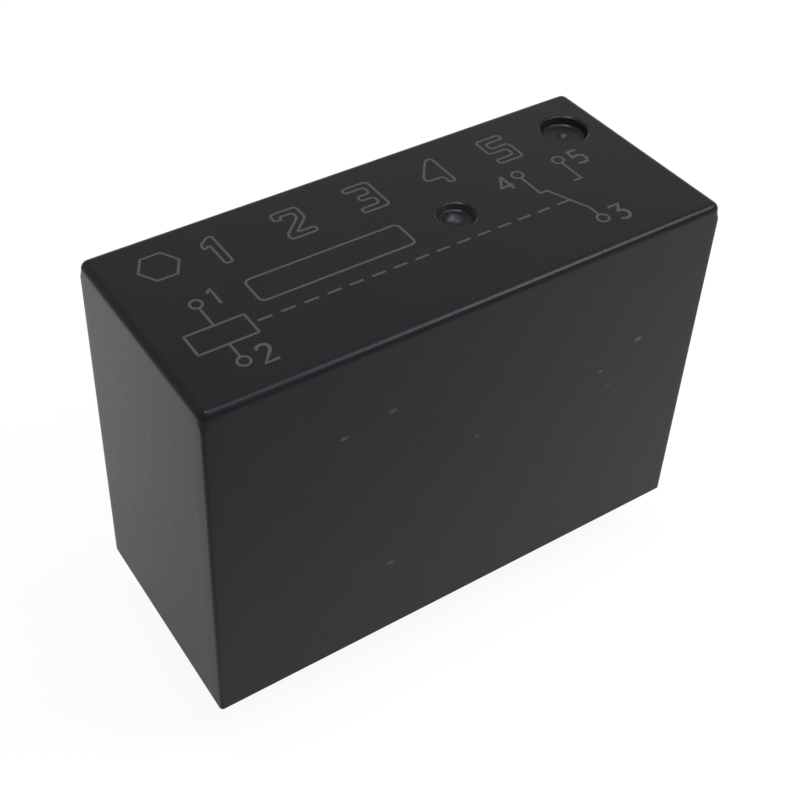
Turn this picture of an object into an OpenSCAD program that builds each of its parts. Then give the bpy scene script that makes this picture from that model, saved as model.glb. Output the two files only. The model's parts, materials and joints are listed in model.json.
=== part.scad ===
// One-pole change-over power relay for a printed circuit board, in a sealed moulded cover.
// Millimetres. The origin is the middle of the cover's rim, on the face of the board.
// +X runs along the cover from the armature's end to the contacts' end, and +Z is up.
// The relay is drawn at rest: the coil is off and the armature stands open.

/* [Cover] */
// Length of the cover
case_l = 28.8; // [28.4:0.1:32]
// Width of the cover
case_w = 12.3; // [12:0.1:15]
// Height of the cover above the board
case_h = 20.2; // [19.8:0.1:25]
// Thickness of the cover's side walls
wall_t = 0.9; // [0.75:0.05:1.1]
// Thickness of the cover's roof
roof_t = 1.0; // [0.8:0.05:1.5]
// Radius of the cover's upright edges
corner_r = 0.25; // [0.2:0.05:0.8]
// Radius of the cover's top edges
top_r = 0.35; // [0.15:0.05:0.4]
// Radius of the upright edges inside the cover
inner_r = 0.3; // [0.15:0.05:0.5]
// Width of the ledge inside the rim that the base seats against
ledge_w = 0.3; // [0.2:0.05:0.4]

/* [Recesses in the roof] */
// Diameter of the vent recess
vent_d = 2.6; // [2:0.1:3.2]
// Depth of the vent recess
vent_depth = 0.45; // [0.3:0.05:0.6]
// Distance of the vent from the contacts' end
vent_from_end = 2.45; // [2.2:0.05:4]
// Distance of the vent from the back wall's face
vent_from_back = 3.1; // [2.2:0.05:5]
// Diameter of the nib that is cut off to open the vent
nib_d = 0.8; // [0.6:0.1:1.4]
// Height of the nib above the recess floor
nib_h = 0.16; // [0.15:0.01:0.4]
// Diameter of the gate recess
gate_d = 2.0; // [1.4:0.1:2.6]
// Depth of the gate recess
gate_depth = 0.4; // [0.2:0.05:0.5]
// Distance of the gate from the middle, along the length
gate_x = 2.7; // [-6:0.1:6]
// Distance of the gate from the middle, across the width
gate_y = -0.1; // [-2:0.1:2]
// Diameter of the sprue stub left on the gate
sprue_d = 0.8; // [0.4:0.1:1.2]
// Height of the sprue stub
sprue_h = 0.18; // [0.15:0.01:0.35]
// Depth of the stubs' roots in the roof
stub_root = 0.25; // [0.1:0.05:0.3]

/* [Base] */
// Depth of the resin below the cover's rim
seal_recess = 0.2; // [0.1:0.05:0.4]
// Thickness of the sealing resin
seal_t = 0.6; // [0.4:0.05:0.9]
// Thickness of the base floor
floor_t = 1.4; // [1.2:0.05:2]
// Thickness of the insulating barrier
barrier_t = 0.7; // [0.5:0.05:0.8]
// Height of the barrier above the card
barrier_over = 0.6; // [0.2:0.1:1.2]
// Height of the towers that hold the fixed contact blades
tower_h = 5.2; // [3:0.1:6]
// Wall thickness of the towers and rails
rib_t = 0.6; // [0.5:0.05:0.7]
// Height of the rails beside the yoke
rail_h = 0.9; // [0.6:0.1:1.3]

/* [Board pins] */
// Length of the pins below the board's upper face
pin_below = 3.2; // [2.8:0.1:4]
// Diameter of the coil pins below the resin
coil_pin_d = 0.6; // [0.5:0.05:0.65]
// Diameter of the coil pins' posts inside
coil_post_d = 0.7; // [0.7:0.05:0.8]
// Distance between the two coil pins
coil_pitch = 7.5; // [7.2:0.05:7.8]
// Distance of the coil pins from the armature's end of the cover
coil_row_end = 5.1; // [4.9:0.1:5.6]
// Distance of the last contact pin from the contacts' end of the cover
contact_row_end = 3.7; // [3.5:0.05:4.2]
// Distance between neighbouring contact pins along the length
contact_pitch = 2.5; // [2.3:0.02:2.6]
// Width of the contact pins
contact_pin_w = 1.0; // [0.8:0.05:1.2]
// Distance of the contact pins from the middle line
contact_pin_y = 2.5; // [1.8:0.05:2.5]
// Length of the pins' pointed ends
tip_l = 0.4; // [0.2:0.05:0.6]

/* [Coil] */
// Diameter of the core
core_d = 4.2; // [3.6:0.1:4.6]
// Diameter of the pole head
pole_d = 6.2; // [5.4:0.1:7]
// Thickness of the pole head
pole_t = 0.65; // [0.5:0.05:0.8]
// Diameter of the tenon staked into the yoke
tenon_d = 3.0; // [2.4:0.1:3.4]
// Wall thickness of the bobbin's tube
tube_t = 0.6; // [0.5:0.05:0.8]
// Thickness of the bobbin's flanges
flange_t = 1.0; // [0.8:0.05:1.1]
// Height of the bobbin's flanges
flange_h = 11.8; // [11.2:0.1:12.2]
// Wall of the sockets that hold the coil pins
socket_t = 0.45; // [0.3:0.05:0.5]
// Depth of the sockets that hold the coil pins
socket_h = 1.4; // [1:0.1:1.6]
// Depth of the winding below the flanges' edge
winding_below = 0.25; // [0.15:0.05:0.6]
// Diameter of the winding wire's ends
wire_d = 0.14; // [0.1:0.01:0.18]
// Number of wraps of a wire end round its pin
wraps = 5; // [3:1:6]

/* [Yoke, armature and hinge] */
// Thickness of the yoke
yoke_t = 1.3; // [1.1:0.05:1.4]
// Width of the yoke's lower leg
yoke_w = 5.6; // [5:0.1:5.8]
// Width of the yoke's upright leg
yoke_back_w = 8.0; // [7:0.1:9]
// Inner radius of the yoke's bend
bend_r = 0.3; // [0.2:0.05:0.5]
// Thickness of the armature
armature_t = 1.2; // [1:0.05:1.3]
// Width of the armature at the core
armature_w = 8.8; // [7.5:0.1:9.4]
// Width of the armature at the hinge
hinge_w = 6.0; // [5.4:0.1:7]
// Width of the armature's tongue
tongue_w = 3.2; // [2.6:0.1:3.6]
// Thickness of the hinge spring
leaf_t = 0.2; // [0.15:0.01:0.25]
// Width of the hinge spring
leaf_w = 4.6; // [4:0.1:5]
// Length of the hinge spring's arm along the armature
leaf_arm = 4.4; // [3.6:0.1:5]
// Length of the hinge spring's flange under the yoke
leaf_flange = 5.2; // [4.4:0.1:6]
// Diameter of the stakes that hold the hinge spring
stake_d = 0.9; // [0.7:0.05:1]
// Distance between the two stakes of a pair
stake_pitch = 2.4; // [2:0.1:2.6]

/* [Card] */
// Thickness of the card
card_t = 1.3; // [1:0.05:1.6]
// Width of the card
card_w = 6.0; // [5.6:0.1:6.6]
// Width of the nose that pushes the contact spring
nose_w = 4.0; // [3:0.1:4.4]
// Length of the fork beside the armature's tongue
fork_l = 0.8; // [0.5:0.05:0.9]
// Width of the two windows in the card
window_w = 2.0; // [1:0.1:2.6]
// Width of the webs left round the windows
web_w = 1.3; // [1:0.05:1.6]

/* [Contacts] */
// Thickness of the contact blades
blade_t = 0.5; // [0.4:0.02:0.55]
// Width of the contact blades
blade_w = 6.0; // [6:0.1:6.4]
// Thickness of the contact spring
spring_t = 0.2; // [0.15:0.01:0.25]
// Width of the contact spring at its foot
spring_w = 5.2; // [4.8:0.1:5.4]
// Width of the contact spring at its top
spring_top_w = 4.2; // [4:0.1:4.6]
// Height of the contacts above the base floor
contact_h = 9.85; // [9:0.05:10.5]
// Diameter of the fixed contacts
contact_d = 3.2; // [2.8:0.1:3.4]
// Diameter of the moving contact
moving_d = 3.0; // [2.6:0.1:3.2]
// Thickness of each head of the moving contact
moving_head_t = 0.83; // [0.7:0.01:0.95]
// Diameter of the contacts' shanks
shank_d = 1.5; // [1.2:0.05:1.7]
// Height of the common blade above the base floor
com_h = 2.7; // [2.5:0.05:3]
// Diameter of the rivets that clamp the contact spring
rivet_d = 0.9; // [0.7:0.05:1]
// Distance between those two rivets
rivet_pitch = 2.6; // [2.2:0.1:3]

/* [Heads and edges] */
// Thickness of a staked or riveted head
head_t = 0.25; // [0.2:0.01:0.3]
// How far a staked or riveted head reaches past its shank
head_over = 0.3; // [0.2:0.05:0.35]
// Radius of stamped and moulded corners
soft_r = 0.4; // [0.3:0.05:0.45]
// Bevel on moulded and turned edges
bevel = 0.12; // [0.06:0.01:0.14]
// How far a contact's rim lies below its crown
dome_drop = 0.1; // [0.05:0.01:0.14]

/* [Clearances] */
// Clearance round pieces that fit into each other
fit = 0.05; // [0.03:0.01:0.06]
// Clearance beside and over the sliding card
slide = 0.15; // [0.1:0.01:0.2]
// Gap between the armature and the steel that it meets
air_gap = 0.05; // [0.04:0.01:0.08]
// Gap left between closed contacts
touch_gap = 0.04; // [0.03:0.01:0.05]
// Clearance on each side of the card in the barrier's notch
notch_gap = 0.3; // [0.2:0.05:0.4]
// Side clearance between the cover and what stands inside it
side_gap = 0.15; // [0.1:0.01:0.2]

/* [Hidden] */
$fn = 64;
// Overshoot of cutting shapes past the face that they cut
cut = 1;
// Points on each rounded corner of a stamped or moulded outline
corner_steps = 5;

// Levels, from the rim up
base_z = seal_recess + seal_t;
floor_z = base_z + floor_t;
ceiling_z = case_h - roof_t;
leaf_r = armature_t / 2 + air_gap;
yoke_z = floor_z + fit + leaf_t;
hinge_z = yoke_z + leaf_r;
flange_z = yoke_z + yoke_t + fit;
flange_top = flange_z + flange_h;
coil_z = flange_z + flange_h / 2;
card_z = flange_top + slide;
card_mid = card_z + card_t / 2;
card_top = card_z + card_t;
tongue_top = card_top + soft_r + slide;
contact_z = floor_z + contact_h;
pivot_z = floor_z + com_h;
rivet_z = floor_z + com_h / 2;

// Room inside the cover
inner_l = case_l - 2 * wall_t;
inner_w = case_w - 2 * wall_t;
seat_l = inner_l + 2 * ledge_w;
seat_w = inner_w + 2 * ledge_w;

// Places along the length
coil_x = -case_l / 2 + coil_row_end;
no_x = case_l / 2 - contact_row_end;
com_x = no_x - contact_pitch;
nc_x = com_x - contact_pitch;
winding_x = coil_x + coil_post_d / 2 + socket_t;
flange_x = winding_x - flange_t;
pole_x = flange_x - pole_t;
closed_x = pole_x - air_gap;
hinge_x = closed_x - armature_t / 2;
nc_tail_x = nc_x - blade_t / 2 - head_t;
barrier_x = nc_tail_x - slide - barrier_t;
stake_x = barrier_x - fit;
back_x1 = stake_x - head_t;
back_x = back_x1 - yoke_t;
far_flange_x = back_x - flange_t;
winding_l = far_flange_x - winding_x;
spring_x = com_x - blade_t / 2 - spring_t;

// Places of the stakes: along the hinge spring's flange, and up its arm
yoke_stake_x = hinge_x + leaf_r + leaf_flange / 2;
leaf_stake_z = leaf_arm - stake_d / 2 - 2 * head_over;

// Widths
flange_w = inner_w - 2 * side_gap;
tube_d = core_d + 2 * fit + 2 * tube_t;
winding_d = min(flange_w, flange_h) - 2 * winding_below;
fixed_head_t = contact_pitch - blade_t - spring_t - moving_head_t - touch_gap;
contact_gap = contact_pitch - fixed_head_t - moving_head_t;

// Travel: the card turns the contact spring about the common blade's upper edge
flex_deg = atan((contact_gap - touch_gap) / (contact_z - pivot_z));
card_travel = (card_mid - pivot_z) * tan(flex_deg);
armature_deg = asin(card_travel / (card_mid - hinge_z));
tongue_x = hinge_x + armature_t / 2 / cos(armature_deg) - (card_mid - hinge_z) * tan(armature_deg);
push_x = tongue_x + fit;
nose_x = spring_x - fit;

// Span of a length about its middle
function mid(c, w) = [c - w / 2, c + w / 2];

// Corners of a rectangle about the middle
function rectangle(w, h) = [[-w / 2, -h / 2], [w / 2, -h / 2], [w / 2, h / 2], [-w / 2, h / 2]];

// Outline made of one half and that half reflected, each coordinate multiplied by flip
function both_halves(half, flip) = concat(
    half,
    [for (i = [len(half) - 1 : -1 : 0]) [half[i][0] * flip[0], half[i][1] * flip[1]]]
);

// Points of an outline whose corners are rounded by an arc through corner_steps points
function soften(pts, r) = [
    for (i = [0 : len(pts) - 1])
        let (
            p = pts[i],
            a = pts[(i + len(pts) - 1) % len(pts)] - p,
            b = pts[(i + 1) % len(pts)] - p,
            u = a / norm(a),
            v = b / norm(b),
            half = acos(u * v) / 2,
            reach = r / tan(half),
            hub = p + (u + v) / norm(u + v) * r / sin(half),
            from = p + u * reach - hub,
            turn = sign(u[0] * v[1] - u[1] * v[0]) * (180 - 2 * half)
        )
        for (k = [0 : corner_steps - 1])
            let (t = -turn * k / (corner_steps - 1))
            hub + [from[0] * cos(t) - from[1] * sin(t), from[0] * sin(t) + from[1] * cos(t)]
];

// Box from three spans
module block(x, y, z) {
    translate([x[0], y[0], z[0]])
        cube([x[1] - x[0], y[1] - y[0], z[1] - z[0]]);
}

// Outline in Y and Z, carried along X
module prism_x(x, depth) {
    translate([x, 0, 0])
        rotate([90, 0, 90])
            linear_extrude(depth)
                children();
}

// Outline in X and Z, carried both ways along Y
module prism_y(width) {
    rotate([90, 0, 0])
        linear_extrude(width, center = true)
            children();
}

// Turned shape whose axis runs along +X from a point
module along_x(p) {
    translate(p)
        rotate([0, 90, 0])
            children();
}

// Rectangle with round corners, about the middle
module round_square(w, h, r) {
    square([w - 2 * r, h], center = true);
    square([w, h - 2 * r], center = true);
    for (x = [-1, 1], y = [-1, 1])
        translate([x * (w / 2 - r), y * (h / 2 - r)])
            circle(r);
}

// Upright face of the cover with rounded top corners
module arch(w) {
    translate([-w / 2, 0])
        square([w, case_h - top_r]);
    translate([-w / 2 + top_r, 0])
        square([w - 2 * top_r, case_h]);
    for (x = [-1, 1])
        translate([x * (w / 2 - top_r), case_h - top_r])
            circle(top_r);
}

// Outside of the cover: plan and two side views carried through each other
module cover_block() {
    intersection() {
        linear_extrude(case_h)
            round_square(case_l, case_w, corner_r);
        prism_y(case_w + cut)
            arch(case_l);
        prism_x(-case_l / 2 - cut, case_l + 2 * cut)
            arch(case_w);
    }
}

// Round recess in the roof, with a bevelled mouth
module roof_recess(d, depth) {
    translate([0, 0, case_h - depth])
        cylinder(d = d, h = depth + cut);
    translate([0, 0, case_h - bevel])
        cylinder(d1 = d, d2 = d + 2 * (bevel + cut), h = bevel + cut);
}

// Stub that stands on a recess floor, with a rounded crown
module roof_stub(d, depth, h) {
    translate([0, 0, case_h - depth - stub_root])
        rotate_extrude()
            polygon([
                [0, 0],
                [d / 2 + bevel, 0],
                [d / 2 + bevel, stub_root],
                [d / 2, stub_root + bevel],
                [d / 3, stub_root + h],
                [0, stub_root + h]
            ]);
}

module cover() {
    vent = [case_l / 2 - vent_from_end, case_w / 2 - vent_from_back, 0];
    gate = [gate_x, gate_y, 0];
    color("#2d2d30") {
        difference() {
            cover_block();
            translate([0, 0, floor_z - cut])
                linear_extrude(ceiling_z - floor_z + cut)
                    round_square(inner_l, inner_w, inner_r);
            translate([0, 0, -cut])
                linear_extrude(floor_z + cut)
                    round_square(seat_l, seat_w, inner_r);
            translate(vent)
                roof_recess(vent_d, vent_depth);
            translate(gate)
                roof_recess(gate_d, gate_depth);
        }
        translate(vent)
            roof_stub(nib_d, vent_depth, nib_h);
        translate(gate)
            roof_stub(sprue_d, gate_depth, sprue_h);
    }
}

// Place across the width of the contact pin at x
function pin_y(x) = x == com_x ? -contact_pin_y : contact_pin_y;

// All board pins, grown by a clearance, from one level to another
module pin_holes(z0, z1, grow) {
    for (s = [-1, 1])
        translate([coil_x, s * coil_pitch / 2, z0])
            cylinder(d = coil_post_d + 2 * grow, h = z1 - z0);
    for (x = [nc_x, com_x, no_x])
        block(mid(x, blade_t + 2 * grow), mid(pin_y(x), contact_pin_w + 2 * grow), [z0, z1]);
}

// Insulating wall between coil and contacts, notched for the card
module barrier() {
    top = card_top + barrier_over;
    difference() {
        block([barrier_x, barrier_x + barrier_t], mid(0, flange_w), [base_z, top]);
        block(
            [barrier_x - cut, barrier_x + barrier_t + cut],
            mid(0, card_w + 2 * notch_gap),
            [card_z - slide, top + cut]
        );
    }
}

// Tower with a groove for one edge of a fixed contact blade
module blade_tower(x) {
    groove_t = blade_t + 2 * fit;
    edge_y = blade_w / 2 + fit;
    difference() {
        block(mid(x, groove_t + 2 * rib_t), mid(edge_y, 2 * rib_t), [base_z, floor_z + tower_h]);
        block(mid(x, groove_t), [0, edge_y], [floor_z, floor_z + tower_h + cut]);
    }
}

module base() {
    rail_y = yoke_w / 2 + fit;
    stop_y = blade_w / 2 + fit;
    color("#35353a")
        difference() {
            union() {
                translate([0, 0, base_z])
                    linear_extrude(floor_t)
                        round_square(seat_l - 2 * fit, seat_w - 2 * fit, inner_r);
                barrier();
                for (s = [0, 1])
                    mirror([0, s, 0]) {
                        blade_tower(nc_x);
                        blade_tower(no_x);
                        block(mid(com_x, blade_t + rib_t), [stop_y, stop_y + rib_t], [base_z, pivot_z]);
                        block(
                            [winding_x + rib_t, far_flange_x],
                            [rail_y, rail_y + rib_t],
                            [base_z, floor_z + rail_h]
                        );
                    }
            }
            pin_holes(base_z - cut, floor_z + cut, fit);
            for (s = [-1, 1])
                translate([yoke_stake_x, s * stake_pitch / 2, yoke_z - leaf_t - head_t - fit])
                    cylinder(d = stake_d + 2 * head_over + 2 * fit, h = head_t + cut);
        }
}

module sealing_resin() {
    color("#1d1d20")
        difference() {
            translate([0, 0, seal_recess])
                linear_extrude(seal_t)
                    round_square(seat_l, seat_w, inner_r);
            pin_holes(seal_recess - cut, base_z + cut, 0);
        }
}

// Flange of the bobbin with its pair of hooked guides for the card
module bobbin_flange(x) {
    guide_y = card_w / 2 + slide;
    hook_z = card_top + slide;
    prism_x(x, flange_t)
        translate([0, coil_z])
            round_square(flange_w, flange_h, soft_r);
    for (s = [0, 1])
        mirror([0, s, 0]) {
            block([x, x + flange_t], [guide_y, guide_y + rib_t], [coil_z, hook_z + soft_r]);
            block([x, x + flange_t], [guide_y - soft_r, guide_y + rib_t], [hook_z, hook_z + soft_r]);
        }
}

module bobbin() {
    socket_r = coil_post_d / 2 + socket_t;
    color("ivory")
        difference() {
            union() {
                bobbin_flange(flange_x);
                bobbin_flange(far_flange_x);
                along_x([flange_x, 0, coil_z])
                    cylinder(d = tube_d, h = back_x - flange_x);
                for (s = [0, 1])
                    mirror([0, s, 0])
                        block(
                            mid(coil_x, 2 * socket_r),
                            [coil_pitch / 2 - socket_r, flange_w / 2 - soft_r],
                            [flange_z, flange_z + socket_h + socket_t]
                        );
            }
            along_x([flange_x - cut, 0, coil_z])
                cylinder(d = core_d + 2 * fit, h = back_x - flange_x + 2 * cut);
            for (s = [-1, 1])
                translate([coil_x, s * coil_pitch / 2, flange_z - cut])
                    cylinder(d = coil_post_d + 2 * fit, h = socket_h + cut);
            block(
                [back_x - bend_r, back_x + cut],
                mid(0, yoke_w + 2 * fit),
                [flange_z - cut, flange_z + bend_r]
            );
        }
}

module coil_winding() {
    color("sienna")
        along_x([winding_x, 0, coil_z])
            difference() {
                cylinder(d = winding_d, h = winding_l);
                translate([0, 0, -cut])
                    cylinder(d = tube_d + 2 * fit, h = winding_l + 2 * cut);
            }
}

// Pole head, shank through the bobbin, and a tenon staked over the yoke's upright leg
module core() {
    shoulder = back_x - pole_x;
    end = stake_x - pole_x;
    color("#b9bbbe")
        along_x([pole_x, 0, coil_z])
            rotate_extrude()
                polygon([
                    [0, 0],
                    [pole_d / 2 - bevel, 0],
                    [pole_d / 2, bevel],
                    [pole_d / 2, pole_t],
                    [core_d / 2, pole_t],
                    [core_d / 2, shoulder],
                    [tenon_d / 2, shoulder],
                    [tenon_d / 2, end - head_t],
                    [tenon_d / 2 + head_over, end - head_t],
                    [tenon_d / 2, end],
                    [0, end]
                ]);
}

// Side view of the yoke: lower leg, round bend and upright leg
module yoke_profile(top) {
    bend = [back_x - bend_r, yoke_z + yoke_t + bend_r];
    translate([hinge_x + leaf_r, yoke_z])
        square([bend[0] - hinge_x - leaf_r, yoke_t]);
    translate([back_x, bend[1]])
        square([yoke_t, top - bend[1]]);
    intersection() {
        translate(bend)
            difference() {
                circle(bend_r + yoke_t);
                circle(bend_r);
            }
        translate([bend[0], yoke_z])
            square([bend_r + yoke_t, yoke_t + bend_r]);
    }
}

module yoke() {
    top = coil_z + tenon_d / 2 + 2 * yoke_t;
    wide_z = yoke_z + yoke_t + bend_r + fit;
    color("#a9adb3")
        difference() {
            union() {
                prism_y(yoke_w)
                    yoke_profile(top);
                prism_x(back_x, yoke_t)
                    translate([0, (top + wide_z) / 2])
                        polygon(soften(rectangle(yoke_back_w, top - wide_z), soft_r));
                for (s = [-1, 1])
                    translate([yoke_stake_x, s * stake_pitch / 2, yoke_z])
                        stake(0);
            }
            along_x([back_x - cut, 0, coil_z])
                cylinder(d = tenon_d + 2 * fit, h = yoke_t + 2 * cut);
        }
}

// Stake down through the hinge spring, which lies a gap away, with its head spread behind it
module stake(gap) {
    back = gap + leaf_t;
    translate([0, 0, -back])
        cylinder(d = stake_d, h = back + leaf_t);
    translate([0, 0, -back - head_t])
        cylinder(d1 = stake_d, d2 = stake_d + 2 * head_over, h = head_t);
}

// What turns with the armature, drawn closed and set at rest
module at_rest() {
    translate([hinge_x, 0, hinge_z])
        rotate([0, -armature_deg, 0])
            children();
}

// Front view of the armature: hinge end run past the hinge line, broad middle, tongue
function armature_outline() =
    let (
        waist_z = coil_z - pole_d / 2 - hinge_z,
        shoulder_z = coil_z + pole_d / 2 - hinge_z,
        neck_z = card_z - soft_r - hinge_z
    )
    both_halves(
        [
            [hinge_w / 2, -cut],
            [hinge_w / 2, waist_z - (armature_w - hinge_w) / 2],
            [armature_w / 2, waist_z],
            [armature_w / 2, shoulder_z],
            [tongue_w / 2, neck_z],
            [tongue_w / 2, tongue_top - hinge_z]
        ],
        [-1, 1]
    );

module armature() {
    color("#9fa3a9")
        at_rest() {
            prism_x(-armature_t / 2, armature_t)
                intersection() {
                    polygon(soften(armature_outline(), soft_r));
                    translate([-armature_w / 2, 0])
                        square([armature_w, tongue_top]);
                }
            rotate([90, 0, 0])
                cylinder(d = armature_t, h = hinge_w, center = true);
            for (s = [-1, 1])
                translate([-armature_t / 2, s * stake_pitch / 2, leaf_stake_z])
                    rotate([0, 90, 0])
                        stake(air_gap);
        }
}

// Side view of the hinge spring about the hinge: flange, bend round the hinge, arm
module hinge_profile() {
    far = 2 * (leaf_r + leaf_t);
    translate([0, -leaf_r - leaf_t])
        square([leaf_r + leaf_flange, leaf_t]);
    rotate(armature_deg)
        translate([-leaf_r - leaf_t, 0])
            square([leaf_t, leaf_arm]);
    intersection() {
        difference() {
            circle(leaf_r + leaf_t);
            circle(leaf_r);
        }
        polygon([[0, 0], [-far * cos(armature_deg), -far * sin(armature_deg)], [-far, -far], [0, -far]]);
    }
}

module hinge_spring() {
    hole_d = stake_d + 2 * fit;
    color("#c9a063")
        difference() {
            translate([hinge_x, 0, hinge_z])
                prism_y(leaf_w)
                    hinge_profile();
            for (s = [-1, 1]) {
                translate([yoke_stake_x, s * stake_pitch / 2, yoke_z - leaf_t - cut])
                    cylinder(d = hole_d, h = leaf_t + 2 * cut);
                at_rest()
                    translate([-leaf_r - leaf_t - cut, s * stake_pitch / 2, leaf_stake_z])
                        rotate([0, 90, 0])
                            cylinder(d = hole_d, h = leaf_t + 2 * cut);
            }
        }
}

// Plan of the card: forked at the tongue, narrowed to the nose at the contact spring
module card_plan() {
    round_r = card_t / 2;
    fork_y = tongue_w / 2 + slide;
    neck_x = barrier_x + barrier_t;
    half = [
        [push_x - fork_l, card_w / 2],
        [neck_x, card_w / 2],
        [neck_x + (card_w - nose_w) / 2, nose_w / 2],
        [nose_x - round_r, nose_w / 2]
    ];
    difference() {
        polygon(both_halves(half, [1, -1]));
        translate([push_x - fork_l - cut, -fork_y])
            square([fork_l + cut + round_r, 2 * fork_y]);
        for (s = [-1, 1])
            translate([winding_x + winding_l / 2 + s * winding_l / 4, 0])
                round_square(winding_l / 2 - web_w, window_w, soft_r);
    }
}

module card() {
    round_r = card_t / 2;
    fork_y = tongue_w / 2 + slide;
    color("ivory") {
        translate([0, 0, card_z])
            linear_extrude(card_t)
                card_plan();
        translate([push_x + round_r, 0, card_mid])
            rotate([90, 0, 0])
                cylinder(r = round_r, h = 2 * fork_y, center = true);
        translate([nose_x - round_r, 0, card_mid])
            rotate([90, 0, 0])
                cylinder(r = round_r, h = nose_w, center = true);
    }
}

// Round pin of the coil: pointed board end, and a thicker post up into the bobbin's socket
module coil_terminal(s) {
    top = flange_z + socket_h - fit;
    color("#d3d0c4")
        translate([coil_x, s * coil_pitch / 2, 0])
            rotate_extrude()
                polygon([
                    [0, -pin_below],
                    [coil_pin_d / 4, -pin_below],
                    [coil_pin_d / 2, tip_l - pin_below],
                    [coil_pin_d / 2, seal_recess],
                    [coil_post_d / 2, seal_recess],
                    [coil_post_d / 2, top],
                    [0, top]
                ]);
}

module coil_terminal_a() {
    coil_terminal(-1);
}

module coil_terminal_b() {
    coil_terminal(1);
}

// Wire end: wraps round the coil pin, a short run along the floor and a rise to the winding
module coil_lead(s) {
    lead_y = coil_pitch / 2;
    wrap_r = coil_post_d / 2 + fit + wire_d / 2;
    run_z = floor_z + wire_d * wraps;
    rise_x = winding_x + wire_d;
    rise_top = coil_z - sqrt(pow(winding_d / 2, 2) - pow(lead_y - wire_d / 2, 2)) - fit;
    color("#b5622e")
        mirror([0, s < 0 ? 1 : 0, 0]) {
            translate([coil_x, lead_y, 0])
                rotate_extrude()
                    for (i = [1 : wraps])
                        translate([wrap_r, floor_z + i * wire_d])
                            circle(d = wire_d + fit / 2);
            along_x([coil_x + wrap_r, lead_y, run_z])
                cylinder(d = wire_d, h = rise_x - coil_x - wrap_r);
            translate([rise_x, lead_y, run_z])
                sphere(d = wire_d);
            translate([rise_x, lead_y, run_z])
                cylinder(d = wire_d, h = rise_top - run_z);
        }
}

module coil_lead_a() {
    coil_lead(-1);
}

module coil_lead_b() {
    coil_lead(1);
}

// Flat blade that stands on the base floor, with its board pin
module blade(x, h) {
    y = pin_y(x);
    prism_x(x - blade_t / 2, blade_t) {
        translate([0, floor_z + h / 2])
            polygon(soften(rectangle(blade_w, h), soft_r));
        polygon([
            [y - contact_pin_w / 2, floor_z + h / 2],
            [y - contact_pin_w / 2, tip_l - pin_below],
            [y - contact_pin_w / 4, -pin_below],
            [y + contact_pin_w / 4, -pin_below],
            [y + contact_pin_w / 2, tip_l - pin_below],
            [y + contact_pin_w / 2, floor_z + h / 2]
        ]);
    }
}

// Blade of a fixed contact, drilled for the contact's shank
module fixed_terminal(x) {
    color("#cfae72")
        difference() {
            blade(x, contact_h + contact_d / 2 + soft_r);
            along_x([x - cut, 0, contact_z])
                cylinder(d = shank_d + 2 * fit, h = 2 * cut);
        }
}

module nc_terminal() {
    fixed_terminal(nc_x);
}

module no_terminal() {
    fixed_terminal(no_x);
}

module com_terminal() {
    color("#cfae72")
        difference() {
            blade(com_x, com_h);
            rivet_holes();
        }
}

// Holes for the two clamping rivets, through the contact spring and the common blade
module rivet_holes() {
    for (s = [-1, 1])
        along_x([com_x - cut, s * rivet_pitch / 2, rivet_z])
            cylinder(d = rivet_d + 2 * fit, h = 2 * cut);
}

// Outline of a domed contact head of diameter d and thickness t, rising along the axis
function dome(d, t, from) = [
    for (a = [0 : corner_steps])
        let (y = d / 2 * (1 - a / corner_steps))
        [y, from + t - dome_drop * pow(2 * y / d, 2)]
];

// Fixed contact: domed head, shank through its blade, spread tail
module fixed_contact(x, turn) {
    tail_r = shank_d / 2 + head_over;
    color("#dcdde0")
        translate([x, 0, contact_z])
            rotate([0, turn, 0])
                rotate_extrude()
                    polygon(concat(
                        [
                            [0, -blade_t / 2 - head_t],
                            [shank_d / 2, -blade_t / 2 - head_t],
                            [tail_r, -blade_t / 2],
                            [shank_d / 2, -blade_t / 2],
                            [shank_d / 2, blade_t / 2],
                            [contact_d / 2, blade_t / 2]
                        ],
                        dome(contact_d, fixed_head_t, blade_t / 2)
                    ));
}

module nc_contact() {
    fixed_contact(nc_x, 90);
}

module no_contact() {
    fixed_contact(no_x, -90);
}

// Leaf that carries the moving contact: clamped foot, slotted middle, top pushed by the card
module moving_spring() {
    foot = floor_z + fit;
    top = card_top + soft_r;
    slot_h = contact_z - moving_d / 2 - pivot_z - 2 * soft_r;
    slot_w = spring_w / 3;
    half = [
        [spring_w / 2, foot],
        [spring_w / 2, pivot_z],
        [spring_top_w / 2, contact_z],
        [spring_top_w / 2, top]
    ];
    color("#c98f52")
        difference() {
            prism_x(spring_x, spring_t)
                difference() {
                    polygon(soften(both_halves(half, [-1, 1]), soft_r));
                    translate([0, pivot_z + soft_r + slot_h / 2])
                        round_square(slot_w, slot_h, slot_w / 2 - fit);
                }
            rivet_holes();
            along_x([spring_x - cut, 0, contact_z])
                cylinder(d = shank_d + 2 * fit, h = spring_t + 2 * cut);
        }
}

module moving_contact() {
    half = concat(
        [[shank_d / 2, spring_t / 2], [moving_d / 2, spring_t / 2]],
        dome(moving_d, moving_head_t, spring_t / 2)
    );
    color("#e2e3e6")
        along_x([spring_x + spring_t / 2, 0, contact_z])
            rotate_extrude()
                polygon(both_halves(half, [1, -1]));
}

// Two rivets through the contact spring and the common blade, headed on both sides
module spring_rivets() {
    grip = spring_t + blade_t;
    color("#d0b27a")
        for (s = [-1, 1])
            along_x([spring_x - head_t, s * rivet_pitch / 2, rivet_z]) {
                cylinder(d1 = rivet_d, d2 = rivet_d + 2 * head_over, h = head_t);
                cylinder(d = rivet_d, h = grip + 2 * head_t);
                translate([0, 0, head_t + grip])
                    cylinder(d1 = rivet_d + 2 * head_over, d2 = rivet_d, h = head_t);
            }
}

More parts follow.
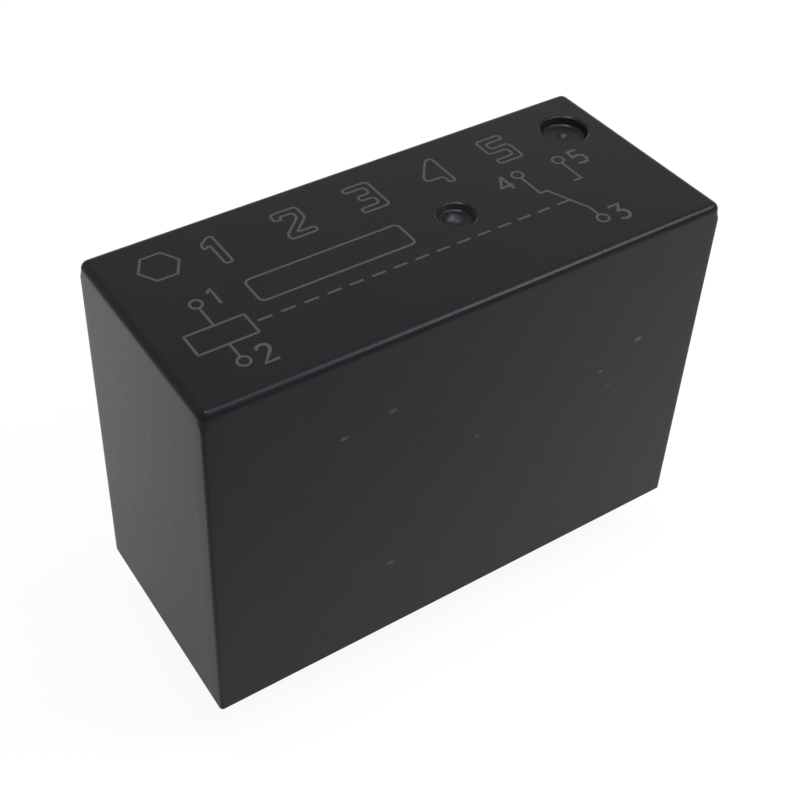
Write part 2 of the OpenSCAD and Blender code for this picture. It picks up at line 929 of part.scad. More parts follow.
cover();
base();
sealing_resin();
bobbin();
coil_winding();
core();
yoke();
armature();
hinge_spring();
card();
coil_terminal_a();
coil_terminal_b();
coil_lead_a();
coil_lead_b();
nc_terminal();
com_terminal();
no_terminal();
nc_contact();
no_contact();
moving_spring();
moving_contact();
spring_rivets();
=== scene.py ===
"""Looks of a sealed PCB power relay, laid out as a Blender add-on and run as a script.

Every length is in metres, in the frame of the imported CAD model: the origin lies in the middle of the
cover's rim on the board plane, +X runs from the coil's end to the contacts' end and +Z is up.
"""

import json
import math

import bmesh
import bpy
import numpy as np
from bpy.props import FloatProperty, FloatVectorProperty, PointerProperty
from bpy.types import Operator, Panel, PropertyGroup
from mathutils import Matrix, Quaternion, Vector


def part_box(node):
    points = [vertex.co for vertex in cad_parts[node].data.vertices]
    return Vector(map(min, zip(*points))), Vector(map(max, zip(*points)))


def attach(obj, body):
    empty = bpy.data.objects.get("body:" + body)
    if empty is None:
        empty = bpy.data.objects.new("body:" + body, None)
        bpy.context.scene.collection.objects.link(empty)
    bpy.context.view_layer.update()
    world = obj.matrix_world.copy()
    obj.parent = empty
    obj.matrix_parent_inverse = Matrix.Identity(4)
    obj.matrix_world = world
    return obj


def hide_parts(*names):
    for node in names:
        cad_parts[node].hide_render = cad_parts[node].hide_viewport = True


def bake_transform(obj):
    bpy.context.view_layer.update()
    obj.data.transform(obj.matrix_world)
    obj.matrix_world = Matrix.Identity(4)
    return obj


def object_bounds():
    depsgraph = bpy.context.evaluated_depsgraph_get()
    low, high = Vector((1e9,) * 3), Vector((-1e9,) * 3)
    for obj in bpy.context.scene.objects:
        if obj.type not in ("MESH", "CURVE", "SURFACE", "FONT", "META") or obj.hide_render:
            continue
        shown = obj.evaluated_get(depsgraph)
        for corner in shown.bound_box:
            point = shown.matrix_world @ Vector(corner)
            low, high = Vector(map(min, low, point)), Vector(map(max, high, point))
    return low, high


bl_info = {
    "name": "PCB power relay",
    "version": (1, 0, 0),
    "blender": (4, 5, 0),
    "location": "View3D > Sidebar > Relay",
    "description": "Dresses a packed relay: moulded cover, laser marking, resin, winding and leaf springs",
    "category": "Object",
}

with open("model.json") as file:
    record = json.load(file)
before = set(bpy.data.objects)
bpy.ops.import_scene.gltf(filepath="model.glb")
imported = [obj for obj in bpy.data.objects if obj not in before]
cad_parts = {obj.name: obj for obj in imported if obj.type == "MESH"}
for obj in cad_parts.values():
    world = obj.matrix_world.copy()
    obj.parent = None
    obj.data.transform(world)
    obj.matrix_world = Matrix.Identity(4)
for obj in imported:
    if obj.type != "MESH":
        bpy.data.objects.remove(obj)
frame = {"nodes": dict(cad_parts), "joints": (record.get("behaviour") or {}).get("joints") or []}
CAD_LOW, CAD_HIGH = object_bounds()

MM = 0.001
# Points closer than this many metres count as one
TOUCH = 1e-7
COVER_LOW, COVER_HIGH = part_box("cover")
RESIN_LOW, RESIN_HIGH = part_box("sealing_resin")
COIL_LOW, COIL_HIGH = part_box("coil_winding")
LEAF_LOW, LEAF_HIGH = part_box("hinge_spring")
SPRING_LOW, SPRING_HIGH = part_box("moving_spring")
JOINTS = {joint["name"]: joint for joint in frame["joints"]}
HINGE_AXIS = JOINTS["armature_hinge"]["pos_m"]
FLEX_AXIS = JOINTS["contact_flex"]["pos_m"]


def NumberProperty(name, description, default, **kind):
    """A setting of one number, or of as many numbers as its default holds."""
    if isinstance(default, tuple):
        return FloatVectorProperty(
            name=name, description=description, default=default, size=len(default), **kind
        )
    return FloatProperty(name=name, description=description, default=default, **kind)


def LengthProperty(name, description, default):
    """A length or a place in metres."""
    return NumberProperty(name, description, default, unit="LENGTH")


def AngleProperty(name, description, default):
    """An angle in radians, shown in degrees."""
    return NumberProperty(name, description, default, subtype="ANGLE")


def ShareProperty(name, description, default):
    """A share of a whole."""
    return NumberProperty(name, description, default, subtype="FACTOR")


def ColourProperty(name, description, default):
    """A linear colour."""
    return NumberProperty(name, description, default, subtype="COLOR")


class RelayCover(PropertyGroup):
    """Sizes of the moulded cover."""

    length: LengthProperty("Length", "Outside length along X", COVER_HIGH.x - COVER_LOW.x)
    width: LengthProperty("Width", "Outside width along Y", COVER_HIGH.y - COVER_LOW.y)
    height: LengthProperty("Height", "Height of the roof above the rim", COVER_HIGH.z - 6e-6)
    corner_radius: LengthProperty("Upright edges", "Radius of the four upright edges", 0.2 * MM)
    corner_opening: LengthProperty(
        "Corner opening", "How much wider that radius is at the roof's corners", 0.25 * MM
    )
    corner_reach: LengthProperty(
        "Corner reach", "Height below the roof's edge over which the corners widen", 0.6 * MM
    )
    top_radius: LengthProperty("Roof edges", "Radius round the roof", 0.4 * MM)
    rim_radius: LengthProperty("Rim edge", "Radius round the outside of the rim", 0.06 * MM)
    seat_length: LengthProperty(
        "Seat length", "Length of the recess that takes the base and the resin", 27.6 * MM
    )
    seat_width: LengthProperty("Seat width", "Width of that recess", 11.1 * MM)
    seat_top: LengthProperty("Seat top", "Height of the ledge that the base stops at", 2.2 * MM)
    ledge: LengthProperty("Ledge", "Width of that ledge", 0.3 * MM)
    roof: LengthProperty("Roof", "Thickness of the roof", 1.0 * MM)
    inner_radius: LengthProperty("Inner corners", "Radius of the inside upright corners", 0.3 * MM)
    vent: LengthProperty("Vent", "Middle of the vent recess", (12.0 * MM, 3.14 * MM))
    vent_radius: LengthProperty("Vent radius", "Radius of the vent recess", 1.25 * MM)
    vent_depth: LengthProperty("Vent depth", "Depth of the vent recess", 0.42 * MM)
    nib_radius: LengthProperty("Nib radius", "Radius of the foot of the nib in the vent recess", 0.4 * MM)
    nib_height: LengthProperty("Nib height", "Height of that nib above the recess floor", 0.13 * MM)
    gate: LengthProperty("Gate", "Middle of the gate recess", (2.7 * MM, -0.1 * MM))
    gate_radius: LengthProperty("Gate radius", "Radius of the gate recess", 0.96 * MM)
    gate_depth: LengthProperty("Gate depth", "Depth of the gate recess", 0.34 * MM)
    sprue_radius: LengthProperty("Sprue radius", "Radius of the broken sprue in the gate recess", 0.4 * MM)
    sprue_height: LengthProperty(
        "Sprue height", "Mean height of that sprue above the recess floor", 0.12 * MM
    )
    wall_lean: AngleProperty(
        "Wall lean", "Draft of the wall of each recess, from upright", math.radians(29)
    )
    bevel: LengthProperty(
        "Bevel", "Width of the bevel round the mouth and the foot of each recess", 0.12 * MM
    )


class RelayMarking(PropertyGroup):
    """Sizes of the laser lines on the roof."""

    line_width: LengthProperty("Line width", "Width of one laser line", 0.13 * MM)
    line_height: LengthProperty("Line height", "How far the foamed line stands above the roof", 4e-6)
    large_number: LengthProperty("Large numbers", "Height of the large terminal numbers", 2.2 * MM)
    small_number: LengthProperty("Small numbers", "Height of the numbers in the wiring diagram", 1.15 * MM)
    corner: ShareProperty(
        "Line corners", "How far a drawn corner is rounded, as a share of a number's height", 0.11
    )


class RelayInside(PropertyGroup):
    """Sizes of the resin, the winding and the leaf springs."""

    resin_rise: LengthProperty("Resin rise", "How far the poured resin climbs at the walls", 0.13 * MM)
    resin_reach: LengthProperty("Resin reach", "Distance over which that climb fades", 0.32 * MM)
    wire: LengthProperty("Wire", "Thickness of the enamelled wire", 0.14 * MM)
    winding_bore: LengthProperty("Winding bore", "Radius of the spool tube under the winding", 2.75 * MM)
    leaf: LengthProperty("Leaf", "Thickness of the spring strip", 0.2 * MM)
    leaf_bend: LengthProperty("Leaf bend", "Radius of the middle of the hinge leaf's bend", 0.75 * MM)
    leaf_arm: LengthProperty("Leaf arm", "Length of the hinge leaf's arm on the armature", 4.4 * MM)
    open_angle: AngleProperty(
        "Open angle", "Angle of the open armature from upright", math.radians(4.85602)
    )
    spring_top: LengthProperty("Spring top", "Width of the contact spring at its top", 4.2 * MM)
    spring_slot: LengthProperty("Spring slot", "Width of the slot in the contact spring", 5.2 / 3 * MM)
    contact_level: LengthProperty("Contact level", "Height of the contacts above the rim", 12.05 * MM)


class RelayFinish(PropertyGroup):
    """Colours and roughness of the finishes."""

    cover: ColourProperty("Cover", "Black moulding compound of the cover", (0.0082, 0.0076, 0.0073))
    cover_roughness: ShareProperty("Cover roughness", "Roughness of the spark-eroded faces", 0.31)
    cover_gloss: ShareProperty("Cover gloss", "Strength of the cover's reflections", 0.107)
    marking: ColourProperty("Marking", "Foamed laser lines", (0.04, 0.0385, 0.031))
    # This colour is dust on the front and also a painted highlight on the torn sprue and the nib in the
    # roof
    dust_and_highlight: ColourProperty("Dust", "Dust on the front, torn sprue and nib in the roof", (0.11, 0.11, 0.115))
    resin: ColourProperty("Resin", "Poured epoxy", (0.012, 0.012, 0.013))
    base: ColourProperty("Base", "Moulded base", (0.035, 0.035, 0.04))
    bobbin: ColourProperty("Bobbin", "Ivory moulding of the spool", (0.72, 0.69, 0.6))
    card: ColourProperty("Card", "Off-white moulding of the pusher card", (0.78, 0.76, 0.7))
    copper: ColourProperty("Copper", "Enamelled copper wire", (0.55, 0.2, 0.08))
    core: ColourProperty("Core", "Turned soft iron", (0.5, 0.5, 0.52))
    steel: ColourProperty("Steel", "Stamped and plated soft iron", (0.45, 0.46, 0.48))
    bronze: ColourProperty("Bronze", "Rolled spring strip", (0.62, 0.36, 0.17))
    tin: ColourProperty("Tin", "Tinned pins and wire ends", (0.62, 0.61, 0.57))
    brass: ColourProperty("Brass", "Stamped terminal strip", (0.6, 0.56, 0.45))
    silver: ColourProperty("Silver", "Silver alloy of the contacts", (0.75, 0.75, 0.77))
    rivet: ColourProperty("Rivets", "Upset brass rivets", (0.6, 0.46, 0.22))


class RelayStage(PropertyGroup):
    """Camera, lamps and floor."""

    camera: LengthProperty("Camera", "Place of the camera", (-31.672 * MM, -43.352 * MM, 60.123 * MM))
    azimuth: AngleProperty(
        "Azimuth", "Turn of the camera round the part; 0 looks along +Y", math.radians(-31.88)
    )
    elevation: AngleProperty("Elevation", "Height of the camera above the horizon", math.radians(39.17))
    roll: AngleProperty("Roll", "Turn of the camera about its own axis", math.radians(0.38))
    focal: NumberProperty("Focal length", "Focal length in millimetres on a 36 mm frame", 63.09)
    shift: NumberProperty("Shift", "Shift of the frame as a share of its width", (0.0943, -0.137))
    key_power: NumberProperty("Key power", "Power of the overhead softbox in watts", 0.6)
    key_size: LengthProperty("Key size", "Width of the overhead softbox", 0.055)
    key_from: NumberProperty(
        "Key direction", "Direction from the part to the overhead softbox", (-0.04, 0.05, 1.0)
    )
    side_power: NumberProperty(
        "Side power", "Power of the small lamp in front of the contacts' end, in watts", 0.085
    )
    window_power: NumberProperty(
        "Window power", "Power of the cool window that draws the edges, in watts", 1.0
    )
    window_size: LengthProperty("Window size", "Width and depth of that window", (0.09, 0.3))
    window_from: NumberProperty(
        "Window direction", "Direction from the part to that window", (0.37, -0.25, 0.89)
    )
    backdrop: NumberProperty("Backdrop", "Brightness of the room at the horizon behind the part", 1.1)
    front: NumberProperty(
        "Room in front", "Brightness of the room at the horizon in front of the part", 0.3
    )
    overhead: NumberProperty("Room overhead", "Brightness of the room straight up", 0.5)
    floor: ColourProperty("Floor", "White of the floor", (0.81, 0.777, 0.727))
    floor_glow: ShareProperty("Floor glow", "Share of plain white in the floor that the camera sees", 0.92)
    mirror_glow: ShareProperty(
        "Mirrored glow", "Share of plain white in the floor that reflections see", 0.2
    )


def stitched(rows, columns, wrap=False):
    """Quads between neighbouring rows of a grid; wrap joins the last column to the first."""
    number = np.arange(rows * columns).reshape(rows, columns)
    if wrap:
        number = np.concatenate([number, number[:, :1]], axis=1)
    quads = [number[:-1, :-1], number[1:, :-1], number[1:, 1:], number[:-1, 1:]]
    return np.stack(quads, axis=-1).reshape(-1, 4)


def lofted(points, wrap=True):
    """A grid of points (rows, columns, 3) as a flat list of points and its quads."""
    rows, columns = points.shape[:2]
    return points.reshape(-1, 3), stitched(rows, columns, wrap)


def piece_from(name, parts, material, body=None, sharp=35.0):
    """Join point and quad arrays into one object at the origin.

    Points that touch are merged, so seams and poles close, the faces are
    turned outwards, and edges sharper than the given angle in degrees stay sharp.
    """
    starts = np.cumsum([0] + [len(points) for points, quads in parts[:-1]])
    points = np.concatenate([points for points, quads in parts])
    quads = np.concatenate([quads + start for (_, quads), start in zip(parts, starts)])
    mesh = bpy.data.meshes.new(name)
    mesh.from_pydata(points.tolist(), [], quads.tolist())
    work = bmesh.new()
    work.from_mesh(mesh)
    bmesh.ops.remove_doubles(work, verts=work.verts, dist=TOUCH)
    bmesh.ops.recalc_face_normals(work, faces=work.faces)
    work.to_mesh(mesh)
    work.free()
    if not mesh.polygons:
        raise RuntimeError(f"{name} has no faces")
    mesh.shade_smooth()
    mesh.set_sharp_from_angle(angle=math.radians(sharp))
    mesh.materials.append(material)
    piece = bpy.data.objects.new(name, mesh)
    bpy.context.scene.collection.objects.link(piece)
    if body:
        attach(piece, body)
    return piece


def plan_loop(x_lines, y_lines, arc_steps=8):
    """Shares that describe one turn round a rounded rectangle, as (along x, along y, angle).

    A point lies at share * (half size - radius) + radius * (cos, sin) of its angle, so loops of any
    size and radius have their points in the same order. The lines run from -1 to 1.
    """
    arc = np.linspace(0, np.pi / 2, arc_steps + 1)[1:-1]
    ones_x, ones_y, ones_a = np.ones(len(x_lines)), np.ones(len(y_lines)), np.ones(len(arc))
    along_x = [ones_y, ones_a, x_lines[::-1], -ones_a, -ones_y, -ones_a, x_lines, ones_a]
    along_y = [y_lines, ones_a, ones_x, ones_a, y_lines[::-1], -ones_a, -ones_x, -ones_a]
    quarter = np.pi / 2
    angle = [0 * ones_y, arc, quarter * ones_x, quarter + arc]
    angle += [2 * quarter * ones_y, 2 * quarter + arc, 3 * quarter * ones_x, 3 * quarter + arc]
    return np.concatenate(along_x), np.concatenate(along_y), np.concatenate(angle)


def swept_walls(loop, rows):
    """Points of a wall whose rows (half length, half width, radius, height) each run round the loop."""
    half_l, half_w, radius, height = (column[:, None] for column in np.asarray(rows, float).T)
    along_x, along_y, angle = loop
    x = along_x * (half_l - radius) + radius * np.cos(angle)
    y = along_y * (half_w - radius) + radius * np.sin(angle)
    return np.stack([x, y, np.broadcast_to(height, x.shape)], axis=-1)


def flat_grid(x, y, z):
    """Points of a level grid on the lines x and y."""
    across, along = np.meshgrid(x, y, indexing="ij")
    return np.stack([across, along, np.full(across.shape, z)], axis=-1)


def quarter_round(steps):
    """Sine and cosine of a quarter turn in even steps."""
    turn = np.linspace(0, np.pi / 2, steps + 1)
    return np.sin(turn), np.cos(turn)


def broken_lines(stops, steps):
    """Even steps between one stop and the next, joined into one row of lines."""
    runs = [np.linspace(a, b, n, endpoint=False) for a, b, n in zip(stops[:-1], stops[1:], steps)]
    return np.concatenate(runs + [np.array(stops[-1:])])


def lines_near(lines, middle, reach):
    """The lines within reach of a middle, with the two that lie just there."""
    return lines[np.abs(lines - middle) < reach + TOUCH]


# Slope of the bevels in the roof recesses, and the room that one takes on the roof, in its own widths
BEVEL_SLOPE = math.tan(math.radians(28))
BEVEL_ROOM = 1.6


def recess_profile(radius, depth, lean, bevel, inner):
    """Radii and levels from the mouth of a round recess to a smaller circle on its floor.

    A flat bevel breaks the mouth and another one the foot of the wall, both at 28 degrees to the roof,
    each with a short run-out at its two edges. Between them the wall leans in on its way down. Levels
    count from the roof.
    """
    share = np.array([-0.25, -0.08, 0.08, 0.2, 0.5, 0.8, 0.92, 1.08, 1.25])
    drop = bevel * BEVEL_SLOPE * np.clip(share, 0, 1)
    draft = (depth - 2 * bevel * BEVEL_SLOPE) * math.tan(lean)
    out = np.minimum(share, 1)
    mouth_levels = -drop - bevel * np.maximum(share - 1, 0)
    foot_levels = drop[::-1] - depth + bevel * np.maximum(share[::-1] - 1, 0)
    rows = [
        (np.array([radius + BEVEL_ROOM * bevel]), np.zeros(1)),
        (radius + bevel * (1 - out), mouth_levels),
        (radius - draft - bevel * (1 - out[::-1]), foot_levels),
        (np.array([0.5 * (radius - draft - bevel + inner), inner]), np.full(2, -depth)),
    ]
    return np.concatenate([r for r, z in rows]), np.concatenate([z for r, z in rows])


def soft_nib(radius, height):
    """Radii and levels of a nib: one wave of a cosine from its foot to its top."""
    share = np.linspace(1, 0, 13)[1:]
    return radius * share, height * (1 + np.cos(np.pi * share)) / 2


def recess_patch(centre, x, y, roof, radii, levels):
    """Points of a recess, from the roof lines round it to the rings of a profile, and their angles."""
    border_x = np.concatenate([np.full(len(y) - 1, x[-1]), x[:0:-1], np.full(len(y) - 1, x[0]), x[:-1]])
    border_y = np.concatenate([y[:-1], np.full(len(x) - 1, y[-1]), y[:0:-1], np.full(len(x) - 1, y[0])])
    angle = np.arctan2(border_y - centre[1], border_x - centre[0])
    ring_x = centre[0] + radii[:, None] * np.cos(angle)
    ring_y = centre[1] + radii[:, None] * np.sin(angle)
    ring_z = np.broadcast_to(roof + levels[:, None], ring_x.shape)
    border = np.stack([border_x, border_y, np.full(angle.shape, roof)], axis=-1)
    return np.concatenate([border[None], np.stack([ring_x, ring_y, ring_z], axis=-1)]), angle


def torn_sprue(angle, radius, height):
    """Points of a sprue that was torn off, about its own middle and floor, as rows of rings.

    Seen from above it is an oval whose long axis points 30 degrees to the front. Its sides lean in, and
    the torn face slopes down to the front and thins out at both ends of that axis, with two slow waves
    and one short one round the middle.
    """
    tilt = math.radians(30)
    turn = angle + tilt
    lean = np.array([1.2, 1.1, 1.0, 0.88, 0.6, 0.3, 0.0])[:, None]
    lift = np.array([0.0, 0.4, 0.85, 1.0, 1.0, 1.0, 1.0])[:, None]
    ragged = 1 + 0.1 * np.sin(3 * turn + 0.8) + 0.05 * np.sin(7 * turn)
    along = lean * ragged * radius * 1.18 * np.cos(turn)
    across = lean * ragged * radius * 0.64 * np.sin(turn)
    x = along * math.cos(tilt) + across * math.sin(tilt)
    y = across * math.cos(tilt) - along * math.sin(tilt)
    face = (height + 0.25 * x + 0.37 * y) * (1 - 0.8 * (along / (1.3 * radius)) ** 2)
    face = face + 0.06 * height * np.sin(9000 * x + 1) * np.cos(12000 * y)
    return np.stack([x, y, lift * np.maximum(face, 0.12 * height)], axis=-1)


def node(tree, kind, inputs=None, **settings):
    """Add a shader node with its settings, and set or link its inputs by name or number."""
    made = tree.nodes.new(kind)
    for key, value in settings.items():
        setattr(made, key, value)
    for key, value in (inputs or {}).items():
        if isinstance(value, bpy.types.NodeSocket):
            tree.links.new(value, made.inputs[key])
        else:
            made.inputs[key].default_value = value
    return made


def blank_material(name):
    """A material that holds only a Principled shader; also gives its tree and Object coordinates."""
    material = bpy.data.materials.new(name)
    material.use_nodes = True
    tree = material.node_tree
    tree.nodes.clear()
    shader = node(tree, "ShaderNodeBsdfPrincipled")
    node(tree, "ShaderNodeOutputMaterial", {"Surface": shader.outputs[0]})
    place = node(tree, "ShaderNodeTexCoord").outputs["Object"]
    return material, tree, shader, place


def noise(tree, place, scale, detail=2.0, roughness=0.5):
    """Value of a noise texture whose grain repeats about scale times in a metre."""
    settings = {"Vector": place, "Scale": scale, "Detail": detail, "Roughness": roughness}
    return node(tree, "ShaderNodeTexNoise", settings).outputs[0]


def ranged(tree, value, low, high, out_low, out_high):
    """Value moved from one range to another and held there."""
    settings = {0: value, 1: low, 2: high, 3: out_low, 4: out_high}
    return node(tree, "ShaderNodeMapRange", settings).outputs[0]


def combined(tree, way, first, second):
    """Two values put together by a math node."""
    return node(tree, "ShaderNodeMath", {0: first, 1: second}, operation=way).outputs[0]


def mixed(tree, share, first, second, kind="RGBA"):
    """Mix of two colours, or of two plain values, by a share."""
    settings = {"Factor": share, "A": first, "B": second}
    return node(tree, "ShaderNodeMix", settings, data_type=kind).outputs["Result"]


def toned(tree, share, colour, dark, light):
    """A colour that goes from a darker shade of itself to a lighter one with a share."""
    shades = [[min(1.0, channel * factor) for channel in colour] for factor in (dark, light)]
    return mixed(tree, share, (*shades[0], 1), (*shades[1], 1))


def coloured(tree, shader, colour):
    """Give a shader its colour."""
    tree.links.new(colour, shader.inputs["Base Color"])


def roughened(tree, shader, grain, low, high):
    """Give a shader a roughness that follows a grain; nearly all of a noise lies from 0.3 to 0.7."""
    tree.links.new(ranged(tree, grain, 0.3, 0.7, low, high), shader.inputs["Roughness"])


def bumped(tree, shader, height, distance, strength):
    """Give a shader a bump of the given depth in metres."""
    settings = {"Strength": strength, "Distance": distance, "Height": height}
    tree.links.new(node(tree, "ShaderNodeBump", settings).outputs[0], shader.inputs["Normal"])


def oval_distance(tree, place, middle, shape):
    """Distance from a middle in millimetres, with every axis multiplied by its number in the shape."""
    scaled = node(tree, "ShaderNodeVectorMath", {0: place, 1: shape}, operation="MULTIPLY").outputs[0]
    centre = tuple(along * MM * share for along, share in zip(middle, shape))
    settings = {0: scaled, 1: centre}
    return node(tree, "ShaderNodeVectorMath", settings, operation="DISTANCE").outputs["Value"]


# Pale spots: dust on the front, then painted highlights on the torn sprue and the nib. Each has its
# place and half width in millimetres, and how strongly it shows
DUST_AND_HIGHLIGHT_SPOTS = (
    (10.23, -6.15, 13.3, 0.24, 0.5),
    (-4.85, -6.15, 15.83, 0.25, 0.3),
    (-7.45, -6.15, 15.4, 0.2, 0.42),
    (-4.54, -6.15, 5.15, 0.22, 0.33),
    (7.94, -6.15, 12.18, 0.12, 0.5),
    (8.7, -6.15, 10.9, 0.12, 0.42),
    (0.25, -6.15, 11.57, 0.14, 0.4),
    # The last two are painted highlights: the sprue and the nib are made paler where light glints on them
    (2.62, -0.05, 19.95, 0.42, 0.1),
    (12.0, 3.1, 19.86, 0.2, 0.32),
)
SPOT_SHAPE = (0.75, 1.0, 1.3)
# An oval on the armature's end where the gloss is dulled: its middle in millimetres, and one over its half
# widths in metres
SMUDGE = (COVER_LOW.x / MM, 2.6, 6.7)
SMUDGE_SHAPE = (1000, 3600, 1800)


def cover_finish(look):
    """Black moulding: spark-eroded grain, slow tone drift, pale spots of dust and of painted highlight, a
    smudge on the end.
    """
    material, tree, shader, place = blank_material("cover_plastic_finish")
    colour = toned(tree, noise(tree, place, 260, 3.0), look.cover, 0.86, 1.14)
    spotted = 0.0
    for *middle, size, strength in DUST_AND_HIGHLIGHT_SPOTS:
        away = oval_distance(tree, place, middle, SPOT_SHAPE)
        spot = ranged(tree, away, size * MM, 0.4 * size * MM, 0.0, strength)
        spotted = combined(tree, "MAXIMUM", spotted, spot)
    # The dust spots and the painted highlights on the sprue and the nib go over the colour
    coloured(tree, shader, mixed(tree, spotted, colour, (*look.dust_and_highlight, 1)))
    grain = noise(tree, place, 9000, 4.0, 0.6)
    roughened(tree, shader, grain, look.cover_roughness - 0.04, look.cover_roughness + 0.05)
    away = oval_distance(tree, place, SMUDGE, SMUDGE_SHAPE)
    dulled = ranged(tree, away, 1.0, 0.2, look.cover_gloss, 0.72 * look.cover_gloss)
    tree.links.new(dulled, shader.inputs["Specular IOR Level"])
    bumped(tree, shader, grain, 4e-6, 0.5)
    return material


def marking_finish(look):
    """Foamed laser line: matt olive grey with a fine speckle."""
    material, tree, shader, place = blank_material("laser_line_finish")
    speckle = noise(tree, place, 14000, 3.0)
    coloured(tree, shader, toned(tree, speckle, look.marking, 0.75, 1.2))
    roughened(tree, shader, speckle, 0.6, 0.8)
    shader.inputs["Specular IOR Level"].default_value = 0.3
    return material


def resin_finish(look):
    """Poured epoxy: glossy black with slow ripples and tiny pits."""
    material, tree, shader, place = blank_material("resin_finish")
    ripple = noise(tree, place, 420, 2.0)
    coloured(tree, shader, toned(tree, ripple, look.resin, 0.8, 1.3))
    roughened(tree, shader, ripple, 0.2, 0.34)
    bumped(tree, shader, ripple, 3e-5, 0.6)
    return material


def plastic_finish(name, colour, roughness):
    """Moulded plastic: slow tone drift and a fine grain."""
    material, tree, shader, place = blank_material(name)
    coloured(tree, shader, toned(tree, noise(tree, place, 330, 3.0), colour, 0.9, 1.06))
    grain = noise(tree, place, 7000, 3.0)
    roughened(tree, shader, grain, roughness - 0.06, roughness + 0.06)
    bumped(tree, shader, grain, 4e-6, 0.5)
    return material


def metal_finish(name, colour, roughness, rolled):
    """Rolled, turned or plated metal: fine lines stretched along an axis, and a slow cloud of tarnish."""
    material, tree, shader, place = blank_material(name)
    stretched = node(tree, "ShaderNodeMapping", {"Vector": place, "Scale": rolled}).outputs[0]
    lines = noise(tree, stretched, 9000, 3.0)
    coloured(tree, shader, toned(tree, noise(tree, place, 600, 3.0), colour, 0.82, 1.05))
    shader.inputs["Metallic"].default_value = 1.0
    roughened(tree, shader, lines, roughness - 0.08, roughness + 0.1)
    bumped(tree, shader, lines, 3e-6, 0.4)
    return material


def wire_finish(look):
    """Enamelled copper: warm metal under a clear enamel, with a tone that changes from turn to turn."""
    material, tree, shader, place = blank_material("copper_wire_finish")
    cloud = noise(tree, place, 900, 3.0)
    coloured(tree, shader, toned(tree, cloud, look.copper, 0.7, 1.1))
    shader.inputs["Metallic"].default_value = 1.0
    roughened(tree, shader, cloud, 0.22, 0.36)
    shader.inputs["Coat Weight"].default_value = 0.6
    shader.inputs["Coat Roughness"].default_value = 0.15
    return material


# How far the sprue's middle lies from the middle of its recess, in metres
SPRUE_OFF = np.array([-0.1, 0.09]) * MM


